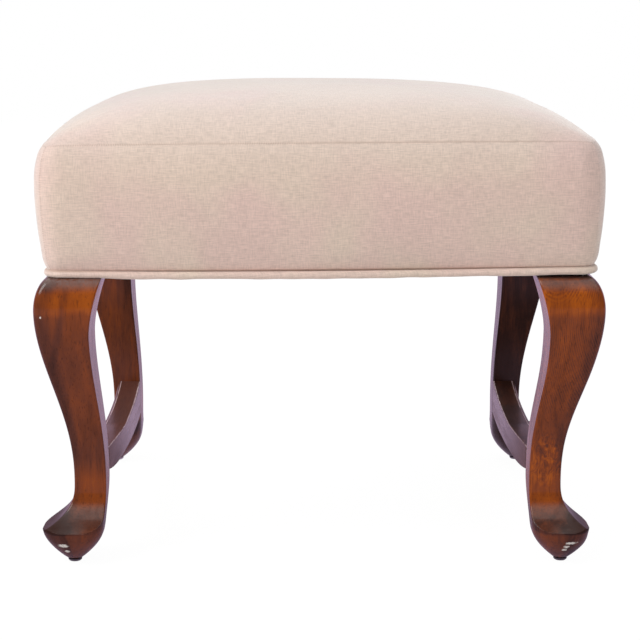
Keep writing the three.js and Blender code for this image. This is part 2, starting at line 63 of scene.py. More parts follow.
# %% [markdown]
# ## Sizes
# Most sizes are read from the CAD pieces, so that every new surface fits the frame. The box of a node
# gives its lowest and highest corners. The feet stand on the axes of the four glides, and the legs are
# measured outwards from there.

# %% Sizes read from the frame
gap = 0.0003  # between pieces that touch
glide_low, glide_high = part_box("glide_rear_right")
foot_x, foot_y = (glide_low.x + glide_high.x) / 2, (glide_low.y + glide_high.y) / 2
knee_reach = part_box("leg_rear_right")[1].x - foot_x
pad_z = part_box("leg_rear_right")[0].z
shoulder_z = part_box("dust_cover")[0].z - gap
rail_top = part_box("rail_front")[1].z
frame_x, frame_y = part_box("rail_right")[1].x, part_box("rail_rear")[1].y
seam_drop, welt_drop = 0.0026, 0.0014  # the photograph shows the seam and the welt a little lower
seam_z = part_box("cover_front")[1].z + gap - seam_drop
crown_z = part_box("cover_top")[1].z
welt_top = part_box("welt")[1].z - welt_drop
tilt = 0.008  # how much the seat rises to the right, per metre
foam_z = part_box("foam_pad")[0].z
corners = {
    "front_left": (-1, -1),
    "front_right": (1, -1),
    "rear_left": (-1, 1),
    "rear_right": (1, 1),
}
print("foot axis", round(foot_x, 4), round(foot_y, 4), "seam", round(seam_z, 4))

# %% [markdown]
# ## Camera
# The photograph was taken from a little above the seat, with a long lens, so the four legs hardly
# converge. The lens is written as the picture's focal length in pixels over its width in pixels. An
# object shows only once it is linked to the scene's collection, so a helper makes and links each one.

# %% Camera
picture_width = 640
focal_pixels = 1650
camera_place = (-0.0063, -1.8168, 0.5649)
camera_tilt, camera_pan = math.radians(79.077), math.radians(-0.3)


def add_object(name, data):
    made = bpy.data.objects.new(name, data)
    bpy.context.scene.collection.objects.link(made)
    return made


camera_data = bpy.data.cameras.new("camera")
camera_data.sensor_width = 36
camera_data.lens = camera_data.sensor_width * focal_pixels / picture_width
camera = add_object("camera", camera_data)
camera.location = camera_place
camera.rotation_euler = (camera_tilt, 0, camera_pan)
bpy.context.scene.camera = camera
print("lens", round(camera_data.lens, 1), "mm")

# %% [markdown]
# ## Shader maths
# A finish is a tree of nodes. Written out node by node it is long and hard to follow, so a number in a
# tree is wrapped in a small class. An ordinary sum on such a number adds the Math nodes that work it out.

# %% A number in a node tree
class Number:
    def __init__(self, finish, socket):
        self.finish = finish
        self.socket = socket

    def math(self, operation, *others):
        values = dict(enumerate([self, *others]))
        return self.finish.node("ShaderNodeMath", {"operation": operation}, values).number()

    def __add__(self, other):
        return self.math("ADD", other)

    def __mul__(self, other):
        return self.math("MULTIPLY", other)

    def __sub__(self, other):
        return self.math("SUBTRACT", other)

    def __rsub__(self, other):
        return (self * -1) + other

    def __truediv__(self, other):
        return self.math("DIVIDE", other)

    def __pow__(self, other):
        return self.math("POWER", other)

    __radd__ = __add__
    __rmul__ = __mul__

    def wave(self, length):
        """Runs from -1 to 1 and back over each length."""
        return (self * (2 * math.pi / length)).math("SINE")

    def ramp(self, low, high):
        """0 up to low, 1 from high on, and a smooth rise between them."""
        settings = {"interpolation_type": "SMOOTHSTEP"}
        values = {"Value": self, "From Min": low, "From Max": high}
        return self.finish.node("ShaderNodeMapRange", settings, values).number()


print("a number can also", [name for name in dir(Number) if not name.startswith("_")])

# %% [markdown]
# Every other node comes from one method. It takes the node's type, its settings, and what goes into its
# sockets. Settings come first, because some of them change which sockets a node has. A finish also has
# shortcuts: the axes of a vector, noise at a given size, a mix of two colours, and the final shader.

# %% A finish and its nodes
class Made:
    def __init__(self, finish, node):
        self.finish = finish
        self.node = node

    def out(self, name=None):
        outputs = [s for s in self.node.outputs if s.enabled and name in (None, s.name)]
        return outputs[0]

    def number(self, name=None):
        return Number(self.finish, self.out(name))


class Finish:
    def __init__(self, name, tree=None):
        if tree is None:
            self.material = bpy.data.materials.new(name)
            self.material.use_nodes = True
            tree = self.material.node_tree
        self.tree = tree
        tree.nodes.clear()

    def node(self, kind, settings=None, values=None):
        node = self.tree.nodes.new(kind)
        for name, value in (settings or {}).items():
            if name == "stops":
                self.set_stops(node, value)
            else:
                setattr(node, name, value)
        for name, value in (values or {}).items():
            self.feed(node, name, value)
        return Made(self, node)

    def set_stops(self, node, stops):
        elements = node.color_ramp.elements
        while len(elements) < len(stops):
            elements.new(0.5)
        for element, (place, color) in zip(elements, stops):
            element.position = place
            element.color = (*color, 1)

    def feed(self, node, name, value):
        if isinstance(name, int):
            socket = node.inputs[name]
        else:
            socket = next(s for s in node.inputs if s.enabled and s.name == name)
        if isinstance(value, Made):
            value = value.out()
        if isinstance(value, Number):
            value = value.socket
        if isinstance(value, bpy.types.NodeSocket):
            self.tree.links.new(value, socket)
        elif isinstance(value, tuple) and len(value) == 3 and socket.type == "RGBA":
            socket.default_value = (*value, 1)
        else:
            socket.default_value = value

    def split(self, vector):
        """The X, Y and Z of a vector, as numbers."""
        made = self.node("ShaderNodeSeparateXYZ", None, {"Vector": vector})
        return [made.number(axis) for axis in "XYZ"]

    def map(self, name):
        return self.node("ShaderNodeUVMap", {"uv_map": name}).out()

    def place(self, scale=(1, 1, 1)):
        """Object coordinates, multiplied along each axis, which makes a pattern that much finer."""
        coordinates = self.node("ShaderNodeTexCoord").out("Object")
        settings = {"operation": "MULTIPLY"}
        return self.node("ShaderNodeVectorMath", settings, {0: coordinates, 1: scale}).out()

    def noise(self, where, detail, rough, twist=0.0):
        """Noise at a scale for each axis, or over a vector."""
        vector = self.place(where) if isinstance(where, tuple) else where
        values = {"Vector": vector, "Scale": 1.0, "Detail": detail}
        values.update({"Roughness": rough, "Distortion": twist})
        return self.node("ShaderNodeTexNoise", None, values).number()

    def mix(self, factor, first, second, blend="MIX"):
        settings = {"data_type": "RGBA", "blend_type": blend}
        values = {"Factor": factor, "A": first, "B": second}
        return self.node("ShaderNodeMix", settings, values).out("Result")

    def bump(self, height, distance, strength=1.0, normal=None):
        values = {"Height": height, "Distance": distance, "Strength": strength}
        if normal is not None:
            values["Normal"] = normal
        return self.node("ShaderNodeBump", None, values).out()

    def end(self, values):
        shader = self.node("ShaderNodeBsdfPrincipled", None, values)
        self.node("ShaderNodeOutputMaterial", None, {"Surface": shader.out()})
        return self.material


print("a finish can make", [n for n in dir(Finish) if not n.startswith("_")])

# %% [markdown]
# ## Stage
# The photograph shows the stool on pure white. The floor is a white plane. Most of what the camera sees
# of it is a glow, a little over white, and the rest is ordinary white paint that takes the stool's
# shadow. The world is white for the camera as well. Polished wood mirrors the backdrop behind the stool
# and a darker room behind the photographer, so reflections see a dimmer, tinted floor and a world that
# fades from the backdrop, and from bright lamps overhead, to near black.

# %% Floor and world
floor_size = 12
floor_glow, glow_seen = 0.92, 1.05  # share of glow in what the camera sees of the floor, and its level
glow_near, glow_far = 0.35, 0.70  # its level in reflections, in front of the stool and behind it
floor_white = (0.78, 0.78, 0.78)
cool_white = (0.86, 0.64, 0.90)  # the backdrop as the polish mirrors it
backdrop_mirrored, lamps_mirrored, room_mirrored = 0.8, 1.6, 0.02
room_light, room_slant = 0.72, 0.22  # even light from all round, and how much it falls to the right


def ray_kinds(finish):
    """1 for what the camera or glass sees, and 1 for what a reflection sees, otherwise 0."""
    path = finish.node("ShaderNodeLightPath")
    rays = ["Is Camera Ray", "Is Transmission Ray", "Is Glossy Ray"]
    camera_ray, clear_ray, glossy_ray = [path.number(name) for name in rays]
    seen = camera_ray.math("MAXIMUM", clear_ray)
    return seen, glossy_ray * (1 - seen)


paint = Finish("floor_paint")
seen, mirrored = ray_kinds(paint)
paint_shader = paint.node("ShaderNodeBsdfDiffuse", None, {"Color": floor_white})
glow_color = paint.mix(mirrored, (1.0, 1.0, 1.0), cool_white)
far = paint.split(paint.place())[1].ramp(-0.1, 0.4)
floor_level = far * (glow_far - glow_near) + glow_near
glow_values = {"Color": glow_color, "Strength": seen * glow_seen + mirrored * floor_level}
paint_glow = paint.node("ShaderNodeEmission", None, glow_values)
glow_share = seen * floor_glow + mirrored
mix_values = {0: glow_share, 1: paint_shader.out(), 2: paint_glow.out()}
paint_mix = paint.node("ShaderNodeMixShader", None, mix_values)
paint.node("ShaderNodeOutputMaterial", None, {"Surface": paint_mix.out()})

floor_mesh = bmesh.new()
bmesh.ops.create_grid(floor_mesh, x_segments=1, y_segments=1, size=floor_size / 2)
floor_data = bpy.data.meshes.new("floor")
floor_mesh.to_mesh(floor_data)
floor_mesh.free()
floor_data.materials.append(paint.material)
floor = add_object("floor", floor_data)

world = bpy.data.worlds.new("studio")
bpy.context.scene.world = world
world.use_nodes = True
sky = Finish("studio", world.node_tree)
seen, mirrored = ray_kinds(sky)
right, back, up = sky.split(sky.node("ShaderNodeTexCoord").out("Generated"))
behind = back.ramp(0.2, 0.7) * backdrop_mirrored
above = up.ramp(0.42, 0.85) * lamps_mirrored
mirrored_level = behind.math("MAXIMUM", above) + room_mirrored
lit_level = room_light * (1 - right * room_slant)
level = seen + mirrored * mirrored_level + (1 - seen) * (1 - mirrored) * lit_level
sky_color = sky.mix(mirrored * (1 - above.math("MINIMUM", 1.0)), (1.0, 1.0, 1.0), cool_white)
background = sky.node("ShaderNodeBackground", None, {"Color": sky_color, "Strength": level})
sky.node("ShaderNodeOutputWorld", None, {"Surface": background.out()})
bpy.context.scene.view_settings.view_transform = "Standard"
print("floor", floor_size, "m wide, room light", room_light)

# %% [markdown]
# ## Light
# Product photographs use large soft lamps, so that shadows have no hard edge. The main one hangs in
# front, above and to the left: the top of the seat is the lightest surface in the photograph, and its
# right end is the darker one. A weaker lamp behind the stool lights the back of the top.

# %% Lamps
def soft_lamp(name, place, aim, size, power):
    data = bpy.data.lights.new(name, "AREA")
    data.shape = "SQUARE"
    data.size = size
    data.energy = power
    lamp = add_object(name, data)
    lamp.location = place
    lamp.rotation_euler = (Vector(aim) - Vector(place)).to_track_quat("-Z", "Y").to_euler()


stool_middle, lamp_size = (0, 0, 0.3), 1.6
soft_lamp("main_lamp", (-1.9, -1.1, 2.3), stool_middle, lamp_size, 38)
soft_lamp("back_lamp", (0.2, 1.7, 1.7), stool_middle, lamp_size, 10)

# %% [markdown]
# ## Finishes: polished mahogany
# The legs and stretchers are of a red-brown wood with a glossy polish. Its colour runs in long streaks
# along the grain, from orange brown to a dark purple brown, with broad cloudy figure between them and
# fine dark pores that are a few millimetres long. All of these are noise, stretched along the grain by
# different amounts. Polish lies over the wood as a clear coat. Light and shade are painted into a leg's
# colour by height: painted light makes an orange band across the knee and another at the ankle, where the
# faces tilt up, and painted shade darkens the hollow over the foot, the underside and the roll under the
# seat.

# %% Wood grain
shade_colors = [
    (0.34, (0.42, 0.091, 0.004)),
    (0.48, (0.25, 0.052, 0.007)),
    (0.64, (0.125, 0.031, 0.012)),
    (0.84, (0.036, 0.012, 0.008)),
]  # the wood's colour at each shade, from light to dark
painted_light_bands = [
    (0.000, 0.62),
    (0.036, 0.62),
    (0.039, 0.71),
    (0.050, 0.71),
    (0.061, 0.50),
    (0.086, 0.46),
    (0.112, 0.57),
    (0.238, 0.57),
    (0.260, 0.51),
    (0.266, 0.41),
    (0.284, 0.41),
    (0.293, 0.62),
]  # painted light and shade on a leg at each height
# how much the painted bands waver, and how dark the painted shade on a leg's outer corner is
band_wobble, painted_corner_shade = 0.020, 0.12
hollow_shade_dark, hollow_shade_dull = 0.24, 0.8  # painted shade in the hollow over the foot: how dark, and how much duller the polish is
hollow_shade_out, hollow_shade_low, hollow_shade_high = (0.240, 0.268), (0.0345, 0.037), (0.041, 0.060)


def grain_noises(finish, along):
    """Streaks, clouds, figure and pores. along is the axis of the grain, 1 for Y and 2 for Z."""
    streak_scale, pore_scale = [75, 75, 75], [900, 900, 900]
    streak_scale[along], pore_scale[along] = 6, 45
    streaks = finish.noise(tuple(streak_scale), 4, 0.55, 0.7)
    cloud = finish.noise((16, 16, 10), 3, 0.5, 1.2)
    figure = finish.noise(tuple(3 * s for s in streak_scale), 3, 0.6, 1.5)
    pores = finish.noise(tuple(pore_scale), 1, 0.4)
    return streaks, cloud, figure, pores


def leg_shade(finish, shade, axes, cloud):
    """The shade of a leg with its painted light and shade by height, painted shade on its outer corner
    and in the hollow over the foot, and the hollow's shade itself.
    """
    near_corner = finish.node("ShaderNodeAttribute", {"attribute_name": "outer"}).number("Fac")
    # painted shade on the leg's outer corner
    shade = shade + near_corner.ramp(0.72, 1.0) * painted_corner_shade
    # painted shade in the hollow over the foot, strongest on its outer side
    outwards = axes[0].math("ABSOLUTE").ramp(*hollow_shade_out) * 0.8 + 0.2
    hollow_shade = axes[2].ramp(*hollow_shade_low) * (1 - axes[2].ramp(*hollow_shade_high)) * outwards
    shade = shade + hollow_shade * hollow_shade_dark
    # painted light and shade in bands by height, with wavy edges
    top_z = painted_light_bands[-1][0] + 0.01
    stops = [(height / top_z, (dark, dark, dark)) for height, dark in painted_light_bands]
    values = {"Fac": (axes[2] + (cloud - 0.5) * band_wobble) / top_z}
    return shade + finish.node("ShaderNodeValToRGB", {"stops": stops}, values).number("Color"), hollow_shade


print("a leg has", len(painted_light_bands), "bands")

# %% [markdown]
# The two front legs have marks of their own. Each mark is a formula on a place: a streak that slants down
# the leg, rings of grain round a point, a patch of curly figure, or chips in the polish with ragged
# edges, painted near white as glints.

# %% Marks in the wood
streak_dark, ring_dark, curl_contrast = 0.10, 0.07, 0.75
ring_pitch, ring_stretch, ring_waver = 0.0042, 5, 0.012
spot_core = 0.2  # share of a patch inside its fading edge


def spot(finish, axes, middle, size, ragged):
    """1 inside a ragged patch round a place, and 0 outside. Size is half its width on each axis."""
    parts = [((axis - m) / h) ** 2 for axis, m, h in zip(axes, middle, size)]
    away = parts[0] + parts[1] + parts[2]
    edge = finish.noise((450, 450, 450), 3, 0.7)
    return 1 - (away + (edge - 0.5) * ragged).ramp(spot_core, 1.0)


def marked(finish, shade, axes, cloud, figure, streaks_at, rings_at, curls_at):
    """The shade with its marks. The lists hold their places, heights and sizes."""
    x, y, z = axes
    for (x_top, z_top), (x_low, z_low), half in streaks_at:
        slope = (x_top - x_low) / (z_top - z_low)
        off = (x - x_top - (z - z_top) * slope).math("ABSOLUTE") + (cloud - 0.5) * half
        line = (1 - off.ramp(0.0, half)) * z.ramp(z_low - 0.02, z_low + 0.01)
        shade = shade + line * streak_dark * (1 - z.ramp(z_top - 0.005, z_top + 0.004))
    for (x_middle, z_middle), (z_low, z_high) in rings_at:
        away = ((x - x_middle) ** 2 * ring_stretch + (z - z_middle) ** 2) ** 0.5
        lines = (away + cloud * ring_waver).wave(ring_pitch) * figure.ramp(0.3, 0.6)
        within = z.ramp(z_low, z_low + 0.02) * (1 - z.ramp(z_high - 0.01, z_high))
        shade = shade + lines * within * ring_dark
    for middle, size in curls_at:
        curl = finish.noise((130, 130, 70), 2, 0.5, 2.5)
        shade = shade + spot(finish, axes, middle, size, 0.3) * (curl - 0.55) * curl_contrast
    return shade


print("rings of grain lie", ring_pitch * 1000, "mm apart")

# %% [markdown]
# Years of use show in the polish, and painted light lies on it too. Dust with a painted sheen lies on the
# roll of a knee, with a painted shadow just under the seat. A stretcher is rubbed dull towards the front,
# painted sheen lightens its faces, and painted highlights run along its top edges.

# %% Mahogany
polish_roughness, pore_depth, pore_share = 0.15, 0.00003, 0.4
# colours: pores, also used for the painted shadow under the seat; dust with a painted sheen; chips
# painted near white as glints
pore_and_shadow_dark, dust_and_sheen, chip_glint_white = (0.03, 0.010, 0.007), (0.165, 0.098, 0.084), (0.82, 0.76, 0.72)
# colours of the painted highlights on a stretcher's top edges, and of the painted sheen on its faces
painted_edge_highlight, painted_sheen = (0.60, 0.43, 0.44), (0.17, 0.07, 0.058)
# chips with painted glints: how ragged, how pale, and how much duller the coat is
chip_glint_ragged, chip_glint_pale, chip_glint_dull = 2.4, 0.9, 0.8
dust_and_sheen_fade, shadow_below = 0.012, (0.0022, 0.0008)  # dust with a painted sheen up a knee, and the painted shadow just below its top
bar_inner, bar_outer = [corner.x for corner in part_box("stretcher_right")]
painted_highlight_edges = (bar_inner + 0.0010, bar_outer - 0.0034)  # how far out the two painted highlight lines lie
# width of a painted highlight line, and the heights where it starts
painted_highlight_line, painted_highlight_above = (0.0002, 0.0008), (0.080, 0.088)
bar_face, dull_to = (painted_highlight_edges[0], bar_inner + 0.0025), (-0.17, 0.08)


def bar_sheen_and_highlights(finish, color, coat, axes, figure, top_gloss_and_sheen):
    """A stretcher's colour and coat, with painted sheen and painted edge highlights. The last argument is
    how shiny its top is and how much painted sheen lightens it.
    """
    wide = axes[0].math("ABSOLUTE")
    face = 1 - wide.ramp(*bar_face)
    coat = coat * (axes[1].ramp(*dull_to) * 0.8 + 0.24) * (face * (1 - top_gloss_and_sheen) + top_gloss_and_sheen)
    # painted sheen lightens the inner face, and the top as much as the last argument says
    color = finish.mix(face * 0.6 + (1 - face) * (top_gloss_and_sheen - 0.4), color, painted_sheen)
    # painted highlights along the two top edges
    edges = 0
    for edge in painted_highlight_edges:
        edges = edges + (1 - (wide - edge).math("ABSOLUTE").ramp(*painted_highlight_line))
    painted_highlight = edges * figure.ramp(0.35, 0.55) * axes[2].ramp(*painted_highlight_above)
    return finish.mix(painted_highlight, color, painted_edge_highlight), coat


def mahogany(name, along, tone=0.0, lively=1.0, top_gloss_and_sheen=0, dust_and_sheen_z=0.289, chips_and_glints_at=(), **marks):
    """A tone over 0 darkens the wood, and a lively one has more contrast. Dust with a painted sheen
    starts at the given height.
    """
    finish = Finish(name)
    axes = finish.split(finish.place())
    streaks, cloud, figure, pores = grain_noises(finish, along)
    grain = (streaks - 0.5) * 0.36 + (cloud - 0.5) * 0.3 + (figure - 0.5) * 0.2
    shade = grain * lively + tone
    coat = 0.95 - streaks.ramp(0.45, 0.75) * 0.35 - pores.ramp(0.4, 0.7) * 0.2
    if along == 2:
        shade, hollow_shade = leg_shade(finish, shade, axes, cloud)
        # the polish is duller in the painted shade of the hollow
        coat = coat * (1 - hollow_shade * hollow_shade_dull)
    else:
        shade = shade + painted_light_bands[0][1]
    if marks:
        shade = marked(finish, shade, axes, cloud, figure, **marks)
    ramp = finish.node("ShaderNodeValToRGB", {"stops": shade_colors}, {"Fac": shade})
    pore = pores.ramp(0.60, 0.72)
    color = finish.mix(pore * pore_share, ramp.out("Color"), pore_and_shadow_dark)
    if along == 2:
        # dust with a painted sheen on the roll of the knee
        dust_and_sheen_mask = axes[2].ramp(dust_and_sheen_z, dust_and_sheen_z + dust_and_sheen_fade) * figure.ramp(0.25, 0.65)
        color = finish.mix(dust_and_sheen_mask, color, dust_and_sheen)
        # a painted shadow just below the top of the leg, under the seat
        painted_shadow_under_seat = axes[2].ramp(*[shoulder_z - below for below in shadow_below]) * 0.85
        color = finish.mix(painted_shadow_under_seat, color, pore_and_shadow_dark)
    else:
        color, coat = bar_sheen_and_highlights(finish, color, coat, axes, figure, top_gloss_and_sheen)
    # chips painted near white as glints, where the coat is duller
    for middle, size in chips_and_glints_at:
        chip_glint = spot(finish, axes, middle, size, chip_glint_ragged)
        color = finish.mix(chip_glint * chip_glint_pale, color, chip_glint_white)
        coat = coat * (1 - chip_glint * chip_glint_dull)
    values = {"Base Color": color, "Roughness": figure * 0.15 + 0.4, "Coat Weight": coat}
    values["Normal"] = finish.bump(figure * 0.15 - pore, pore_depth)
    values["Coat Roughness"] = polish_roughness if along == 2 else 1.5 * polish_roughness
    values["Specular IOR Level"] = 0.05
    return finish.end(values)


print("stretchers from", round(bar_inner, 4), "to", round(bar_outer, 4), "m out from the middle")

# %% [markdown]
# Each leg and each stretcher comes from its own plank. A streak is given by its upper and lower end and
# its half width, rings by their middle and the heights between which they show, and a patch of curly
# figure or of chips with painted glints by its middle and its half width on each axis.

# %% Planks
leg_woods = {
    "front_left": mahogany(
        "mahogany_front_left",
        2,
        0.008,
        0.65,
        dust_and_sheen_z=0.287,
        streaks_at=[((-0.248, 0.288), (-0.262, 0.215), 0.006)],
        rings_at=[],
        curls_at=[],
        chips_and_glints_at=[
            ((-0.2580, -0.212, 0.0232), (0.0064, 0.02, 0.0028)),
            ((-0.2550, -0.210, 0.0158), (0.0032, 0.02, 0.0020)),
            ((-0.2730, -0.215, 0.2600), (0.0012, 0.02, 0.0022)),
        ],
    ),
    "front_right": mahogany(
        "mahogany_front_right",
        2,
        -0.03,
        1.1,
        dust_and_sheen_z=0.294,
        streaks_at=[],
        rings_at=[((0.300, 0.285), (0.150, 0.262)), ((0.235, 0.330), (0.268, 0.292))],
        curls_at=[((0.2330, -0.190, 0.106), (0.022, 0.05, 0.034))],
        chips_and_glints_at=[
            ((0.2565, -0.212, 0.0258), (0.0078, 0.02, 0.0018)),
            ((0.2525, -0.212, 0.0210), (0.0034, 0.02, 0.0024)),
            ((0.2508, -0.210, 0.0170), (0.0034, 0.02, 0.0018)),
        ],
    ),
    "rear_left": mahogany("mahogany_rear_left", 2, 0.07),
    # the right rear leg is toned darker, partly for a darker plank and partly as painted shade on the
    # side away from the main lamp
    "rear_right": mahogany("mahogany_rear_right", 2, 0.25),
}
bar_woods = {
    "left": mahogany("mahogany_bar_left", 1, 0.13, 0.8, 0.8),
    "right": mahogany("mahogany_bar_right", 1, 0.19, 0.8, 0.45),
}
print("woods", list(leg_woods), list(bar_woods))

# %% [markdown]
# ## Finishes: linen
# The cover is a fine plain weave in a pale pinkish beige. Its threads are not even: some stretches are
# thicker and lighter, which draws faint short lines both ways across the cloth. A cloth's pattern follows
# the cloth, so it reads a UV map in metres, with U across the piece and V up it. A second map holds the
# distance to the nearest seam that runs across, and to the nearest one that runs up. Next to a seam the
# cloth is painted a little darker as shade in the seam's crease, dotted by the stitches that pull it in.
# It has a faint pink or straw tint in places and ripples over the tacks. Painted light makes it a little
# lighter to the left and bluer on the top, and a painted shade line runs along the welt.

# %% Linen
thread = 0.00062  # from one thread to the next
stitch = 0.0023
seam_reach = 0.0010  # how far the painted seam shade, dotted by the stitches, reaches beside a seam
# tints: pink and straw in places, and a bluer top painted as light from the sky
pink_tint, straw_tint, painted_sky_tint = (1.0, 0.965, 0.985), (1.0, 1.045, 1.005), (0.972, 1.008, 1.07)
weft_slub, warp_slub = (0.010, 0.0013), (0.0013, 0.009)  # width and height of a thick stretch of thread
straw_heights, painted_sky_heights, stitched_to = (0.36, 0.44), (0.39, 0.47), (-0.08, 0.02)
welt_shade_width, welt_shade_sag = 0.0012, 0.0009  # width of the painted shade line along the welt, and how much it sags
tacked_height = 0.035  # how far up the ripples over the tacks reach
thread_height, rumple_height = 0.00012, 0.004


def stitched_seam_shade(finish, cloth, brown, x, u, v):
    """The cloth with a painted shade line along its seams, which shows as stitch dots on the left of the
    stool.
    """
    across, up, _ = [1 - away.ramp(0.0, seam_reach) for away in finish.split(finish.map("seams"))]
    left = 1 - x.ramp(*stitched_to)
    dots_across = (u.wave(stitch) * 0.5 + 0.4) * left + (1 - left) * 0.6
    dots_up = (v.wave(stitch) * 0.4 + 0.4) * left
    dots = across * dots_across + up * dots_up
    return finish.mix(dots.math("MINIMUM", 1.0) * 0.72, cloth, brown)


def linen(name, color, seams=True):
    finish = Finish(name)
    x, y, z = finish.split(finish.place())
    u, v, welt_line_z = x + y, z, welt_top
    if seams:
        u, v, _ = finish.split(finish.map("weave"))
        welt_line_z = welt_top + welt_shade_width

    def slubs(wide, high):
        stretched = finish.node("ShaderNodeCombineXYZ", None, {"X": u / wide, "Y": v / high})
        return finish.noise(stretched.out(), 2, 0.6)

    weft, warp = slubs(*weft_slub), slubs(*warp_slub)
    mottle = finish.noise((14, 14, 14), 3, 0.5)
    weave = u.wave(2 * thread) * v.wave(2 * thread)
    # the last term paints the cloth lighter to the left, as painted light
    light = (weft - 0.5) * 0.95 + (warp - 0.5) * 0.75 + (mottle - 0.5) * 0.25 + weave * 0.05 - x * 0.12
    dark, pale = [tuple(c * share for c in color) for share in (0.82, 1.18)]
    cloth = finish.mix((light + 0.5).ramp(0.0, 1.0), dark, pale)
    hue = finish.noise((11, 11, 9), 2, 0.5) + z.ramp(*straw_heights) * 0.18
    hue = hue - x * 0.05 - x * x * 0.8
    cloth = finish.mix(1.0, cloth, finish.mix(hue.ramp(0.38, 0.72), pink_tint, straw_tint), "MULTIPLY")
    # painted light: the top is tinted bluer, as lit by the sky
    cloth = finish.mix(z.ramp(*painted_sky_heights), cloth, painted_sky_tint, "MULTIPLY")
    rumple = finish.noise((22, 22, 34), 2, 0.5, 0.6)
    near_tacks = 1 - z.ramp(welt_line_z, welt_line_z + tacked_height)
    tack_pulls = finish.noise((75, 75, 12), 1, 0.5) * near_tacks
    broad = finish.bump(rumple + tack_pulls * 0.7, rumple_height, 0.35)
    height = weft * 0.5 + warp * 0.5 + weave * 0.35
    brown = tuple(c * s for c, s in zip(color, (0.52, 0.42, 0.36)))
    # painted shade: a dark line on the cover just over the welt, and along the top of the welt
    sag = (1 - x * x / frame_x**2) * welt_shade_sag
    welt_shade = (z - x * tilt - welt_line_z + sag).ramp(-welt_shade_width, 0.0)
    cloth = finish.mix((1 - welt_shade if seams else welt_shade) * 0.6, cloth, brown)
    if seams:
        cloth = stitched_seam_shade(finish, cloth, brown, x, u, v)
    values = {
        "Base Color": cloth,
        "Roughness": 0.9,
        "Normal": finish.bump(height, thread_height, 1.0, broad),
        "Sheen Weight": 1.0,
        "Sheen Roughness": 0.45,
        "Sheen Tint": (1.0, 0.97, 0.95),
        "Specular IOR Level": 0.2,
    }
    return finish.end(values)


cover_color = (0.745, 0.565, 0.485)
welt_color = (0.76, 0.595, 0.505)
cover_linen = linen("linen", cover_color)
welt_linen = linen("linen_welt", welt_color, seams=False)
print("linen", thread * 1000, "mm a thread")

# %% [markdown]
# ## Finishes: inside the seat
# The frame under the cover is plain workshop material: planed beech, turned dowels, zinc-plated screws,
# brown jute webbing, hessian sacking, foam, white fibre wadding and a dark cambric dust cover. None of it
# shows in the photograph except the edge of the dust cover, so each finish is a short one. The glides
# under the feet are steel too, painted dark as shade under the feet, and the rear left one, which catches
# the light, has a paler copy of the steel as painted light.

# %% Plain finishes
def plain_wood(name, pale, dark, along):
    finish = Finish(name)
    scale = [70, 70, 70]
    scale[along] = 4
    grain = finish.noise(tuple(scale), 4, 0.6, 0.4)
    values = {"Base Color": finish.mix(grain.ramp(0.3, 0.7), pale, dark), "Roughness": grain * 0.2 + 0.5}
    values["Normal"] = finish.bump(grain, 0.0001)
    return finish.end(values)


def plain_cloth(name, color, pitch, depth):
    finish = Finish(name)
    x, y, z = finish.split(finish.place())
    weave = (x + z).wave(2 * pitch) * (y + z).wave(2 * pitch)
    patchy = finish.noise((60, 60, 60), 3, 0.6)
    shade = weave * 0.25 + patchy
    dark = tuple(c * 0.6 for c in color)
    values = {"Base Color": finish.mix(shade.ramp(0.1, 0.8), dark, color), "Roughness": 0.95}
    values["Normal"] = finish.bump(weave * 0.5 + patchy, depth)
    return finish.end(values)


def plain_metal(name, dark, pale):
    finish = Finish(name)
    rub = finish.noise((400, 400, 400), 3, 0.6)
    color = finish.mix(rub, dark, pale)
    return finish.end({"Base Color": color, "Metallic": 1.0, "Roughness": rub * 0.3 + 0.25})


beech_pale, beech_dark = (0.44, 0.27, 0.13), (0.31, 0.18, 0.08)
plain = {
    "beech_x": plain_wood("beech_x", beech_pale, beech_dark, 0),
    "beech_y": plain_wood("beech_y", beech_pale, beech_dark, 1),
    "dowel_wood": plain_wood("dowel_wood", (0.5, 0.34, 0.18), (0.4, 0.26, 0.13), 1),
    # the screws and glides share a dark steel, painted dark as shade under the feet; the paler copy is
    # painted light for the rear left glide
    "steel": plain_metal("steel", (0.20, 0.20, 0.20), (0.34, 0.34, 0.33)),
    "painted_light_steel": plain_metal("painted_light_steel", (0.62, 0.61, 0.60), (0.80, 0.79, 0.77)),
    "jute": plain_cloth("jute", (0.30, 0.19, 0.08), 0.002, 0.0005),
    "hessian": plain_cloth("hessian", (0.36, 0.25, 0.12), 0.0015, 0.0004),
    "foam": plain_cloth("foam", (0.72, 0.62, 0.36), 0.0009, 0.0003),
    "fibre": plain_cloth("fibre", (0.85, 0.82, 0.77), 0.0030, 0.0004),
    "cambric": plain_cloth("cambric", (0.24, 0.215, 0.20), 0.0006, 0.0001),
}
print("plain finishes", list(plain))

# %% [markdown]
# A CAD piece that isn't drawn anew gets its finish by the start of its name. The first match counts, so
# a longer name stands before a shorter one.

# %% Paint the CAD pieces
kinds = {
    "rail_front": "beech_x",
    "rail_rear": "beech_x",
    "rail": "beech_y",
    "corner_block": "beech_y",
    "block_screw": "steel",
    "stretcher_dowel": "dowel_wood",
    "webbing": "jute",
    "hessian": "hessian",
    "dust_cover": "cambric",
    # the rear left glide gets the paler steel, as painted light
    "glide_rear_left": "painted_light_steel",
    "glide": "steel",
}
painted = 0
for name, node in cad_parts.items():
    kind = next((kinds[start] for start in kinds if name.startswith(start)), None)
    if kind:
        node.data.materials.clear()
        node.data.materials.append(plain[kind])
        painted += 1
print(painted, "CAD pieces painted")

# %% [markdown]
# ## Making surfaces
# Every long shape here is a row of sections: a leg has one at each height, a stretcher one at each
# place along it. The skin starts as one closed ring of edges. Each step extrudes the ring and moves the
# new vertices onto the next section. A vertex keeps its number in a layer that the extrusion copies,
# which tells it where to go.

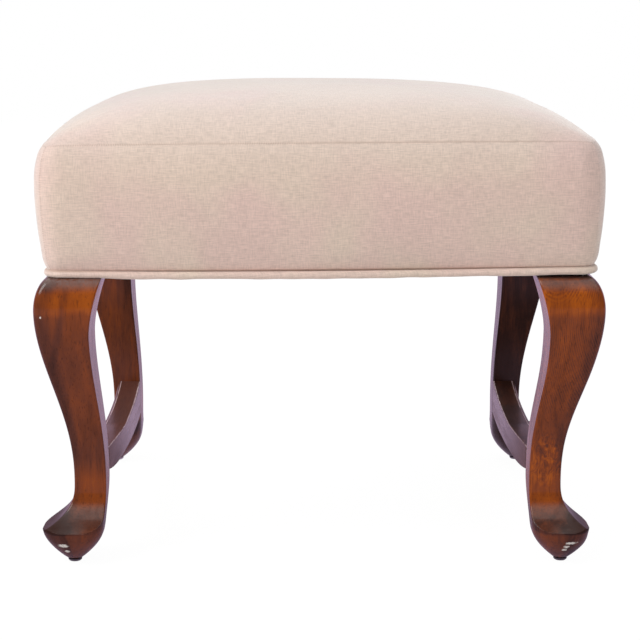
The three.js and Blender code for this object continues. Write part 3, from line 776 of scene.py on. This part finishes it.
# %% A skin over sections, and a finished piece
def skin(rings, joined=False):
    """A surface through rings of the same number of points, joined end to end or closed by two caps."""
    mesh = bmesh.new()
    number = mesh.verts.layers.int.new("number")
    bmesh.ops.create_circle(mesh, cap_ends=False, radius=1, segments=len(rings[0]))
    for i, vert in enumerate(mesh.verts):
        vert[number] = i
        vert.co = rings[0][i]
    edges = first = list(mesh.edges)
    for ring in rings[1:] + rings[:1] * joined:
        grown = bmesh.ops.extrude_edge_only(mesh, edges=edges)["geom"]
        edges = [part for part in grown if isinstance(part, bmesh.types.BMEdge)]
        for vert in [part for part in grown if isinstance(part, bmesh.types.BMVert)]:
            vert.co = ring[vert[number]]
    if joined:
        bmesh.ops.remove_doubles(mesh, verts=mesh.verts, dist=0.000001)
    else:
        bmesh.ops.contextual_create(mesh, geom=first)
        bmesh.ops.contextual_create(mesh, geom=edges)
    return mesh


def piece(name, mesh, finish, stands_for, crease=40):
    """A finished object that rides on the stool, facing outward and smooth up to the crease angle."""
    bmesh.ops.recalc_face_normals(mesh, faces=mesh.faces)
    data = bpy.data.meshes.new(name)
    mesh.to_mesh(data)
    mesh.free()
    data.materials.append(finish)
    data.shade_smooth()
    data.set_sharp_from_angle(angle=math.radians(crease))
    made = add_object(name, data)
    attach(made, "root")
    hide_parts(*stands_for)
    print(name, len(data.vertices), "vertices")
    return made


def between(low, high, share):
    return low + (high - low) * share


def smooth(value, low=0.0, high=1.0):
    """0 up to low, 1 from high on, and an S-curve between them."""
    share = min(max((value - low) / (high - low), 0), 1)
    return share * share * (3 - 2 * share)


# %% [markdown]
# ## Legs
# A cabriole leg is sawn from a square post along the same S-curve on two faces that meet at the
# outer corner. The foot is turned on a lathe first, which leaves its round underside and rim. Where the
# saw cuts stop above the foot they meet the turned rim, and that is the crisp line round each foot.
# One function says how far the outer faces stand from the foot's axis at a height, another does the
# same for the inner faces, and a section joins them with rounded corners.

# %% Leg sizes
rim_z, ankle_z, inner_knee_z, knee_z = 0.037, 0.085, 0.238, 0.264
foot_radius, pad_radius, rim_share = 0.031, 0.0075, 0.74
ankle_outer, ankle_inner = -0.001, -0.0335  # from the foot's axis, outwards
heel_tuck, inner_swell, inner_return = 0.0025, 0.010, 0.0133
shoulder_roll = 0.017
post_outer, post_inner = frame_x - foot_x, -0.0368
edge_radius, hip_radius, knee_radius, post_radius = 0.002, 0.002, 0.007, 0.010
swell_power, return_power, bowl_power, hollow_power = 1.12, 1.6, 1.85, 3.2
corner_steps = 12
turns = [(1, 1), (-1, 1), (-1, -1), (1, -1)]
print("a leg is", round((shoulder_z - pad_z) * 1000), "mm high under the seat")

# %% [markdown]
# The lathe's bowl is a curve from the small pad to the rim. Above it, the outer face runs in over the
# hollow to the ankle, swells out to the knee and rolls over to the shoulder.

# %% Leg sections

def bowl(z):
    up = (z - pad_z) / (rim_z - pad_z)
    return between(pad_radius, foot_radius, 1 - (1 - up) ** bowl_power)


def outer_face(z):
    if z < rim_z:
        return bowl(z)
    if z < ankle_z:
        return between(ankle_outer, foot_radius, ((ankle_z - z) / (ankle_z - rim_z)) ** hollow_power)
    if z < knee_z:
        up = (z - ankle_z) / (knee_z - ankle_z)
        return between(ankle_outer, knee_reach, smooth(up**swell_power))
    roll = (z - knee_z) / (shoulder_z - knee_z)
    return knee_reach - shoulder_roll * (1 - math.sqrt(max(0, 1 - roll**2)))


def inner_face(z):
    if z < rim_z:
        return -bowl(z)
    if z < ankle_z:
        return ankle_inner + heel_tuck * ((ankle_z - z) / (ankle_z - rim_z)) ** 2
    if z < inner_knee_z:
        up = (z - ankle_z) / (inner_knee_z - ankle_z)
        return ankle_inner + inner_swell * smooth(up**swell_power)
    back = (z - inner_knee_z) / (shoulder_z - inner_knee_z)
    return ankle_inner + inner_swell - inner_return * back**return_power


def section(z, sawn, turned, corner_radii, easings):
    """A round-cornered square that the sawn faces cut back. Pairs are for inwards and outwards."""
    ring = []
    for corner, (side_x, side_y) in enumerate(turns):
        outside = int(corner == 0)
        ease = easings[outside]
        radius = max(corner_radii[outside], ease)
        bend = radius - ease
        face_x, face_y = [sawn[int(side > 0)] - ease for side in (side_x, side_y)]
        middle_x, middle_y = [turned[int(side > 0)] - radius for side in (side_x, side_y)]
        for step in range(corner_steps + 1):
            angle = (corner + step / corner_steps) * math.pi / 2
            c, s = abs(math.cos(angle)), abs(math.sin(angle))
            x, y = middle_x + bend * c, middle_y + bend * s
            if x > face_x:
                reach = math.sqrt(max(0, bend**2 - max(0, face_x - middle_x) ** 2))
                x, y = face_x, min(face_y, middle_y + reach)
            elif y > face_y:
                reach = math.sqrt(max(0, bend**2 - max(0, face_y - middle_y) ** 2))
                x, y = min(face_x, middle_x + reach), face_y
            ring.append((side_x * (x + ease * c), side_y * (y + ease * s), z))
    return ring


def leg_section(z):
    faces = [-inner_face(z), outer_face(z)]
    if z < rim_z:
        up = (z - pad_z) / (rim_z - pad_z)
        radius = faces[1] * between(1, rim_share, up**2)
        return section(z, faces, faces, [radius, radius], [0, 0])
    easings = [edge_radius, between(hip_radius, knee_radius, smooth(z, rim_z, knee_z))]
    if z > ankle_z:
        return section(z, faces, faces, easings, easings)
    rim_corner = foot_radius * rim_share
    inside = between(rim_corner, edge_radius, smooth(z, rim_z, ankle_z))
    return section(z, faces, [faces[0], foot_radius], [inside, rim_corner], easings)


print("knee stands", round(outer_face(knee_z) * 1000, 1), "mm out from the foot's axis")

# %% [markdown]
# The sections are close together where the shape turns fast, at the rim and the shoulder. One leg is
# drawn at the right rear corner, and the other three are its mirror images, except that the right front
# one stands a little wider at the knee, on a shorter toe. The inner edges are nearly sharp, so the
# shading normals are weighted by face size, which keeps the broad sawn faces looking flat.

# %% Four legs
knee_shift, shin_low, shin_high = 0.0035, 0.118, 0.21
toe_trim, toe_rise, toe_fall = 0.11, (0.016, 0.034), (0.056, 0.075)  # a share, and heights
spans = [
    (pad_z, rim_z, 14, 0.7),
    (rim_z, ankle_z, 26, 0.7),
    (ankle_z, inner_knee_z, 30, 1),
    (inner_knee_z, knee_z, 8, 1),
    (knee_z, shoulder_z, 16, 1.6),
]  # from, to, how many sections, and a power that crowds them to the top when it is over 1
heights = []
for low, high, count, power in spans:
    heights += [between(high, low, (1 - i / count) ** power) for i in range(count)]
leg_rings = [leg_section(z) for z in heights + [shoulder_z]]
post_faces, post_radii = [-post_inner, post_outer], [edge_radius, post_radius]
for z in (shoulder_z, rail_top):
    leg_rings.append(section(z, post_faces, post_faces, post_radii, post_radii))


def flatten_shading(made):
    weighted = made.modifiers.new("flat_faces", "WEIGHTED_NORMAL")
    weighted.mode = "FACE_AREA"
    weighted.weight = 50
    weighted.keep_sharp = True


for name, (side_x, side_y) in corners.items():
    rings = []
    for ring in leg_rings:
        z = ring[0][2]
        uneven = name == "front_right"
        shift = foot_x + uneven * knee_shift * smooth(z, shin_low, shin_high)
        trim = 1 - uneven * toe_trim * smooth(z, *toe_rise) * (1 - smooth(z, *toe_fall))
        ring = [(x * trim if x > 0 else x, y) for x, y, z in ring]
        rings.append([(side_x * (shift + x), side_y * (foot_y + y), z) for x, y in ring])
    leg = piece(f"cabriole_{name}", skin(rings), leg_woods[name], [f"leg_{name}"])
    flatten_shading(leg)
    ring_numbers = [value.value for value in leg.data.attributes["number"].data]
    # this marks the outer corner, which the wood darkens as painted shade
    outer = leg.data.attributes.new("outer", "FLOAT", "POINT")
    outer.data.foreach_set("value", [float(number <= corner_steps) for number in ring_numbers])

# %% [markdown]
# ## Stretchers
# A stretcher ties the front and rear legs together on each side. It is sawn so that it dips in the
# middle, its edges are eased, and its inner face is flush with the legs. The top edge is higher at the
# front end than at the rear one, and the underside slopes down a little to the back.

# %% Two stretchers
stretcher_low, stretcher_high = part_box("stretcher_right")
dip_front, dip_rear = (0.0165, 1.15), (0.0135, 3.0)  # rise of the top edge from its middle, and its power
bottom_rise, bottom_power, bottom_slant = 0.011, 2.6, 0.06
outer_round, inner_round = 0.003, 0.0015
stretcher_cells, round_steps = 56, 8


def stretcher_section(y):
    out = abs(y / stretcher_high.y)
    rise, power = dip_rear if y > 0 else dip_front
    top = stretcher_high.z - dip_rear[0] + rise * out**power
    bottom = stretcher_low.z + bottom_rise * out**bottom_power - bottom_slant * y
    corner_list = [
        (stretcher_high.x - outer_round, top - outer_round, outer_round, 0),
        (stretcher_low.x + inner_round, top - inner_round, inner_round, 1),
        (stretcher_low.x + inner_round, bottom + inner_round, inner_round, 2),
        (stretcher_high.x - outer_round, bottom + outer_round, outer_round, 3),
    ]
    ring = []
    for x, z, radius, start in corner_list:
        for step in range(round_steps + 1):
            angle = (start + step / round_steps) * math.pi / 2
            ring.append((x + radius * math.cos(angle), y, z + radius * math.sin(angle)))
    return ring


stretcher_rings = [
    stretcher_section(between(-stretcher_high.y, stretcher_high.y, i / stretcher_cells))
    for i in range(stretcher_cells + 1)
]
for name, side in (("left", -1), ("right", 1)):
    rings = [[(side * x, y, z) for x, y, z in ring] for ring in stretcher_rings]
    bar = piece(f"side_bar_{name}", skin(rings), bar_woods[name], [f"stretcher_{name}"])
    flatten_shading(bar)

# %% [markdown]
# ## Seat
# The cover is five panels of linen: a top with a shallow crown and four sides that swell out above the
# frame. They are drawn first as one skin, in rows and columns of small squares, because cloth bends
# along its threads. A side is a row of stations along the frame, each with a direction out. Its profile
# says how far the cloth stands out from the frame between the crease, where the welt lies, and the seam.
# Nothing made by hand is quite even: this seat stands a little to the right of its frame, rises to the
# right, and its crown falls that way.

# %% Seat sizes
cover_thickness = 0.0015
side_bulge, side_bow = 0.0162, 0.0015  # how far a side swells out, and how much more in its middle
crown_power, crown_edge_power = 3.9, 0.58
height_shares = [0, 0.03, 0.065, 0.2, 0.43, 0.68, 0.86, 0.96, 1]
bulge_shares = [0, 0.24, 0.42, 0.64, 0.87, 1, 0.96, 0.78, 0.52]
frame_corner = 0.010  # radius
welt_radius = 0.0039
crease_z = 0.3015
arc_cells, long_cells, short_cells = 3, 78, 60
side_cells = 20
slack_sides, slack_top = 0.0030, 0.0042  # how much smaller the cover is cut than the padding
wrap = (0.0060, 0.0015)  # wadding under the cloth at the frame's ends, at the crease and at the seam
lean = (0.0032, 0.0017)  # how far the seat stands to the right of its frame, at the same two heights
corner_fill = 0.001  # how much more padding stands under the cloth at the corners
slack_turn = 0.8 * math.pi  # puts the most slack five eighths up a side
tuck = 0.004  # how far the cloth runs on behind the welt
crown_tilt = 0.005  # how much the crown falls to the right, per metre
base_reach = gap + cover_thickness
print("sides from", crease_z, "to", round(seam_z, 4), "m")

# %% [markdown]
# The profile of a side is given by a few shares of its height and bulge, and a curve runs smoothly
# through them. The stations go round the frame from seam to seam, with a few at each rounded corner.

# %% Stations and profile

def cubic(xs, ys):
    """A smooth curve through points, as a function."""
    slopes = np.gradient(np.array(ys), np.array(xs))

    def value(x):
        x = min(max(x, xs[0]), xs[-1])
        i = min(int(np.searchsorted(xs, x, side="right")) - 1, len(xs) - 2)
        width = xs[i + 1] - xs[i]
        t = (x - xs[i]) / width
        rise = ys[i + 1] - ys[i]
        return (
            ys[i]
            + rise * (3 * t * t - 2 * t**3)
            + width * slopes[i] * (t - 2 * t * t + t**3)
            + width * slopes[i + 1] * (t**3 - t * t)
        )

    return value


bulge_curve = cubic(height_shares, bulge_shares)


def side_stations(quarter):
    """Places along a side of the frame, from seam to seam, each with its way out and its bow."""
    cells = long_cells if quarter % 2 == 0 else short_cells
    inner = Vector((frame_x - frame_corner, frame_y - frame_corner, 0))
    ends = turns[quarter], turns[(quarter + 1) % 4]
    start, end = [Vector((inner.x * x, inner.y * y, 0)) for x, y in ends]
    found = []
    for i in range(arc_cells):
        angle = (quarter + 0.5 + i / arc_cells / 2) * math.pi / 2
        found.append((start, Vector((math.cos(angle), math.sin(angle), 0)), 0))
    way = Vector((math.cos((quarter + 1) * math.pi / 2), math.sin((quarter + 1) * math.pi / 2), 0))
    for i in range(cells + 1):
        share = i / cells
        found.append((start.lerp(end, share), way, 1 - (2 * share - 1) ** 2))
    for i in range(1, arc_cells + 1):
        angle = (quarter + 1 + i / arc_cells / 2) * math.pi / 2
        found.append((end, Vector((math.cos(angle), math.sin(angle), 0)), 0))
    return [(place + out * frame_corner, out, bow) for place, out, bow in found]


sides = dict(zip(("rear", "left", "front", "right"), map(side_stations, range(4))))


def side_point(station, z):
    place, out, bow = station
    share = (z - crease_z) / (seam_z - crease_z)
    reach = base_reach + bulge_curve(share) * (side_bulge + side_bow * bow)
    give = slack_sides * bow - corner_fill * (1 - bow)
    reach -= give * math.sin(slack_turn * max(0, share))
    point = place + out * reach
    point.x += between(*wrap, max(0, share)) * point.x / frame_x + between(*lean, max(0, share))
    point.z = z + tilt * point.x
    return point


print({name: len(stations) for name, stations in sides.items()})

# %% [markdown]
# The top is a grid between the four seams. Each of its points is mixed from the points of the seams that
# face it, and its height follows the crown, which is flat over the middle and falls away at all sides.
# The side rows go down from the seam to the crease and end a little below it, behind the welt.

# %% One skin for the whole seat
seams = {name: [side_point(station, seam_z) for station in stations] for name, stations in sides.items()}
front_seam, rear_seam = seams["front"], seams["rear"][::-1]
left_seam, right_seam = seams["left"][::-1], seams["right"]


def top_point(i, j):
    s, t = i / (len(front_seam) - 1), j / (len(left_seam) - 1)
    across = front_seam[i].lerp(rear_seam[i], t)
    along = left_seam[j].lerp(right_seam[j], s)
    low, high = front_seam[0].lerp(front_seam[-1], s), rear_seam[0].lerp(rear_seam[-1], s)
    place = across + along - low.lerp(high, t)
    share_x = min(1, abs(front_seam[i].x / front_seam[0].x))
    share_y = min(1, abs(left_seam[j].y / left_seam[0].y))
    fall = (1 - share_x**crown_power) * (1 - share_y**crown_power)
    crown = crown_z - slack_top - crown_tilt * place.x
    place.z += (crown - place.z) * fall**crown_edge_power
    return place


top_rows = [[top_point(i, j) for i in range(len(front_seam))] for j in range(len(left_seam))]
row_crowding = 0.4  # towards the crease and the seam
side_heights = [crease_z - tuck]
for i in range(side_cells + 1):
    share = i / side_cells
    up = smooth(share) * row_crowding + share * (1 - row_crowding)
    side_heights.append(between(crease_z, seam_z, up))
panel_rows = {"top": top_rows}
for name, stations in sides.items():
    panel_rows[name] = [[side_point(station, z) for station in stations] for z in side_heights]
print({name: (len(rows), len(rows[0])) for name, rows in panel_rows.items()})

# %% [markdown]
# Each panel gets two UV maps. The first is the cloth's own, in metres along and up the panel. The second
# holds the distances to the nearest seam that runs along the panel, and to the nearest one that runs up.

# %% Map the cloth
def lengths(places):
    """How far each place in a row is from the first one, along the row."""
    steps = [(after - before).length for before, after in zip(places, places[1:])]
    return np.concatenate([[0], np.cumsum(steps)])


def cloth_map(name, rows):
    """Two arrays with a U and a V for each point of a panel: along the cloth, and to its seams."""
    middle_row, middle_column = rows[len(rows) // 2], [row[len(row) // 2] for row in rows]
    along, up = lengths(middle_row), lengths(middle_column)
    weave = np.stack(np.meshgrid(along - along[-1] / 2, up), axis=-1)
    to_ends = np.minimum(along, along[-1] - along)
    to_top = up[-1] - up if name != "top" else np.minimum(up, up[-1] - up)
    return weave, np.stack(np.meshgrid(to_ends, to_top), axis=-1)[..., ::-1]


cloth_maps = {name: cloth_map(name, rows) for name, rows in panel_rows.items()}

# %% [markdown]
# Each panel is a grid whose points are moved to their places. The five grids are then joined at their
# shared edges, so that the cloth is simulated as one. Padding doesn't fill a sharp corner, so the cloth
# is smoothed a little round the four top corners.

# %% Join the panels
corner_ease, corner_passes = 0.026, 4
all_ways = {"use_axis_x": True, "use_axis_y": True, "use_axis_z": True}
panel_names = list(panel_rows)
cloth = bmesh.new()
weave_layer = cloth.loops.layers.uv.new("weave")
seams_layer = cloth.loops.layers.uv.new("seams")
for index, (name, rows) in enumerate(panel_rows.items()):
    columns = len(rows[0])
    segments = {"x_segments": columns - 1, "y_segments": len(rows) - 1}
    verts = bmesh.ops.create_grid(cloth, size=1, **segments)["verts"]
    numbers = {vert: i for i, vert in enumerate(verts)}
    weave, to_seam = cloth_maps[name]
    for vert, i in numbers.items():
        vert.co = rows[i // columns][i % columns]
    for face in {face for vert in verts for face in vert.link_faces}:
        face.material_index = index
        for loop in face.loops:
            row, column = divmod(numbers[loop.vert], columns)
            loop[weave_layer].uv = weave[row, column]
            loop[seams_layer].uv = to_seam[row, column]
bmesh.ops.remove_doubles(cloth, verts=cloth.verts, dist=0.00002)
for seam_corner in (front_seam[0], front_seam[-1], rear_seam[0], rear_seam[-1]):
    near = [vert for vert in cloth.verts if (vert.co - seam_corner).length < corner_ease]
    for step in range(corner_passes):
        bmesh.ops.smooth_vert(cloth, verts=near, factor=0.5, **all_ways)
bmesh.ops.recalc_face_normals(cloth, faces=cloth.faces)
print("joined", len(cloth.verts), "points")

# %% [markdown]
# ## Tension
# An upholsterer pulls the cloth tight over the padding and tacks it to the rails. Here a Cloth simulation
# does that: pressure from inside stands for the padding, the lower edge is held by the tacks, and the
# seams, which are four layers thick, are held partly. No point may move further than a few millimetres,
# so that the stool keeps its shape.

# %% Hold the cloth
tacked, seamed, padded = 1.0, 0.8, 0.12  # how firmly the points are held

cloth_data = bpy.data.meshes.new("cover_skin")
cloth.to_mesh(cloth_data)
cloth.free()
skin_object = add_object("cover_skin", cloth_data)
start = np.array([vert.co for vert in cloth_data.vertices])


def panels_at_vertices(data):
    found = [set() for vert in data.vertices]
    for face in data.polygons:
        for i in face.vertices:
            found[i].add(face.material_index)
    return found


held = skin_object.vertex_groups.new(name="held")
touching = panels_at_vertices(cloth_data)
on_seam = [i for i, panels in enumerate(touching) if len(panels) > 1]
at_bottom = [i for i, place in enumerate(start) if place[2] < crease_z + tuck]
held.add(list(range(len(start))), padded, "REPLACE")
held.add(on_seam, seamed, "REPLACE")
held.add(at_bottom, tacked, "REPLACE")
print(len(on_seam), "points on seams,", len(at_bottom), "at the tacks")

# %% [markdown] A Cloth modifier works out its frames one after the other, so the script steps through
# them. It then reads where each point went, limits how far, and writes that back to the mesh, so that
# the finished stool needs no simulation.

# %% Simulate the cover
settle_steps = 20
padding_pressure = 4
settle_limit = 0.004
final = start
settle = skin_object.modifiers.new("settle", "CLOTH")
settle.settings.quality = 6
settle.settings.mass = 0.25
settle.settings.tension_stiffness = 25
settle.settings.compression_stiffness = 25
settle.settings.shear_stiffness = 8
settle.settings.bending_stiffness = 1.5
settle.settings.use_pressure = True
settle.settings.uniform_pressure_force = padding_pressure
settle.settings.vertex_group_mass = held.name
settle.settings.effector_weights.gravity = 0
settle.point_cache.frame_start = 1
settle.point_cache.frame_end = settle_steps
for step in range(1, settle_steps + 1):
    bpy.context.scene.frame_set(step)
settled = skin_object.evaluated_get(bpy.context.evaluated_depsgraph_get())
moved = np.array([vert.co for vert in settled.data.vertices]) - start
distance = np.linalg.norm(moved, axis=1, keepdims=True)
final = start + moved * np.minimum(1, settle_limit / np.maximum(distance, settle_limit))
skin_object.modifiers.remove(settle)
bpy.context.scene.frame_set(1)
for index, name in enumerate(panel_names):
    mine = [i for i, panels in enumerate(touching) if panels == {index}]
    half, most = np.percentile(distance[mine], (50, 100)) * 1000
    print(name, "moved up to", round(float(most), 2), "mm, half of it under", round(float(half), 2))
cloth_data.vertices.foreach_set("co", final.astype(np.float32).ravel())
cloth_data.update()
print("cloth of", len(cloth_data.vertices), "vertices, up to", round(float(final[:, 2].max()), 4), "m")

# %% [markdown]
# ## Panels and seams
# The skin is cut into its five panels again. At a seam both cloths turn in, so the outermost row of each
# panel is pushed inwards, with a narrow border beside it that keeps the roll of the edge small. Each
# panel then gets one subdivision and the thickness of the cloth. The subdivision would round off the
# points where three panels meet and leave a hole there, so a full crease holds them.

# %% Cut the skin into panels
seam_border, seam_roll, seam_depth = 0.0003, 0.0005, 0.00008
cloth_draw = 0.0011  # thickness of one cloth
skin_normals = [Vector(normal.vector) for normal in cloth_data.vertex_normals]


def cut_panel(index):
    mesh = bmesh.new()
    mesh.from_mesh(cloth_data)
    inward = mesh.verts.layers.float_vector.new("inward")
    skin_number = mesh.verts.layers.int.new("skin_number")
    crease = mesh.verts.layers.float.new("crease_vert")
    for vert in mesh.verts:
        vert[inward] = -skin_normals[vert.index]
        vert[skin_number] = vert.index
    others = [face for face in mesh.faces if face.material_index != index]
    bmesh.ops.delete(mesh, geom=others, context="FACES")
    for face in mesh.faces:
        face.material_index = 0
    inside = list(mesh.faces)
    settings = {"use_boundary": True, "use_even_offset": True, "use_interpolate": True}
    for width in (seam_border, seam_roll):
        ring = set(bmesh.ops.inset_region(mesh, faces=inside, thickness=width, **settings)["faces"])
        inside = [face for face in inside if face.is_valid and face not in ring]
    for vert in mesh.verts:
        if vert.is_boundary and len(touching[vert[skin_number]]) > 2:
            vert[crease] = 1.0
        elif vert.is_boundary:
            vert.co += vert[inward] * seam_depth
    return mesh


def thicken(made, thickness):
    wall = made.modifiers.new("thickness", "SOLIDIFY")
    wall.thickness = thickness
    wall.offset = -1


for index, name in enumerate(panel_names):
    panel = piece(f"panel_{name}", cut_panel(index), cover_linen, [f"cover_{name}"], 180)
    rounding = panel.modifiers.new("rounding", "SUBSURF")
    rounding.levels = rounding.render_levels = 1
    rounding.boundary_smooth = "PRESERVE_CORNERS"
    rounding.uv_smooth = "NONE"
    thicken(panel, cloth_draw)

# %% [markdown]
# ## Padding
# Under the cover lie a layer of fibre wadding and the foam cushion. They follow the cover at their own
# depth, so they are made from the same skin, moved inwards along its normals.

# %% Wadding and foam
wadding_depth, wadding_thickness = 0.0019, 0.0055
foam_depth = wadding_depth + wadding_thickness + gap
wadding_low = 0.330  # where the wadding ends on the sides


def layer(depth, lowest):
    mesh = bmesh.new()
    mesh.from_mesh(cloth_data)
    low = [vert for vert in mesh.verts if vert.co.z < lowest]
    for vert in mesh.verts:
        vert.co -= skin_normals[vert.index] * depth
    bmesh.ops.delete(mesh, geom=low, context="VERTS")
    for face in mesh.faces:
        face.material_index = 0
    return mesh


wadding_mesh = layer(wadding_depth, wadding_low)
wadding = piece("wadding_layer", wadding_mesh, plain["fibre"], ["wadding"], 180)
thicken(wadding, wadding_thickness)

foam_mesh = layer(foam_depth, foam_z)
rim = [edge for edge in foam_mesh.edges if edge.is_boundary]
for vert in {vert for edge in rim for vert in edge.verts}:
    vert.co.z = foam_z
bmesh.ops.holes_fill(foam_mesh, edges=rim)
foam = piece("foam_cushion", foam_mesh, plain["foam"], ["foam_pad"], 60)
bpy.data.objects.remove(skin_object)

# %% [markdown]
# ## Welt
# A welt is a strip of the same cloth rolled over a cord. It is tacked round the bottom of the seat and
# hides the edge of the cover. Its roll follows the frame's outline and is not quite even: it sags a
# little along each side, and its left end lies a little higher.

# %% Welt round the seat
welt_sag, welt_lift, welt_wobble = 0.0021, 0.0012, 0.0005
lift_from, lift_to = 0.16, 0.27  # how far left of the middle the lift begins and is full
lumps_per_metre, welt_points = 40, 20
welt_rings = []
for name, stations in sides.items():
    for place, out, bow in stations[:-1]:
        middle = place + out * (cover_thickness + 2 * gap + welt_radius)
        middle.x += wrap[0] * middle.x / frame_x + lean[0]
        lumpy = noise.noise(middle * lumps_per_metre) * welt_wobble
        lift = welt_lift * smooth(-middle.x, lift_from, lift_to)
        middle.z = welt_top - welt_radius - welt_sag * bow + tilt * middle.x + lift
        ring = []
        for k in range(welt_points):
            angle = k / welt_points * 2 * math.pi
            point = middle + out * ((welt_radius + lumpy) * math.cos(angle))
            point.z += (welt_radius - lumpy) * math.sin(angle) + lumpy
            ring.append(tuple(point))
        welt_rings.append(ring)
piece("self_welt", skin(welt_rings, joined=True), welt_linen, ["welt"], 180)

# %% [markdown]
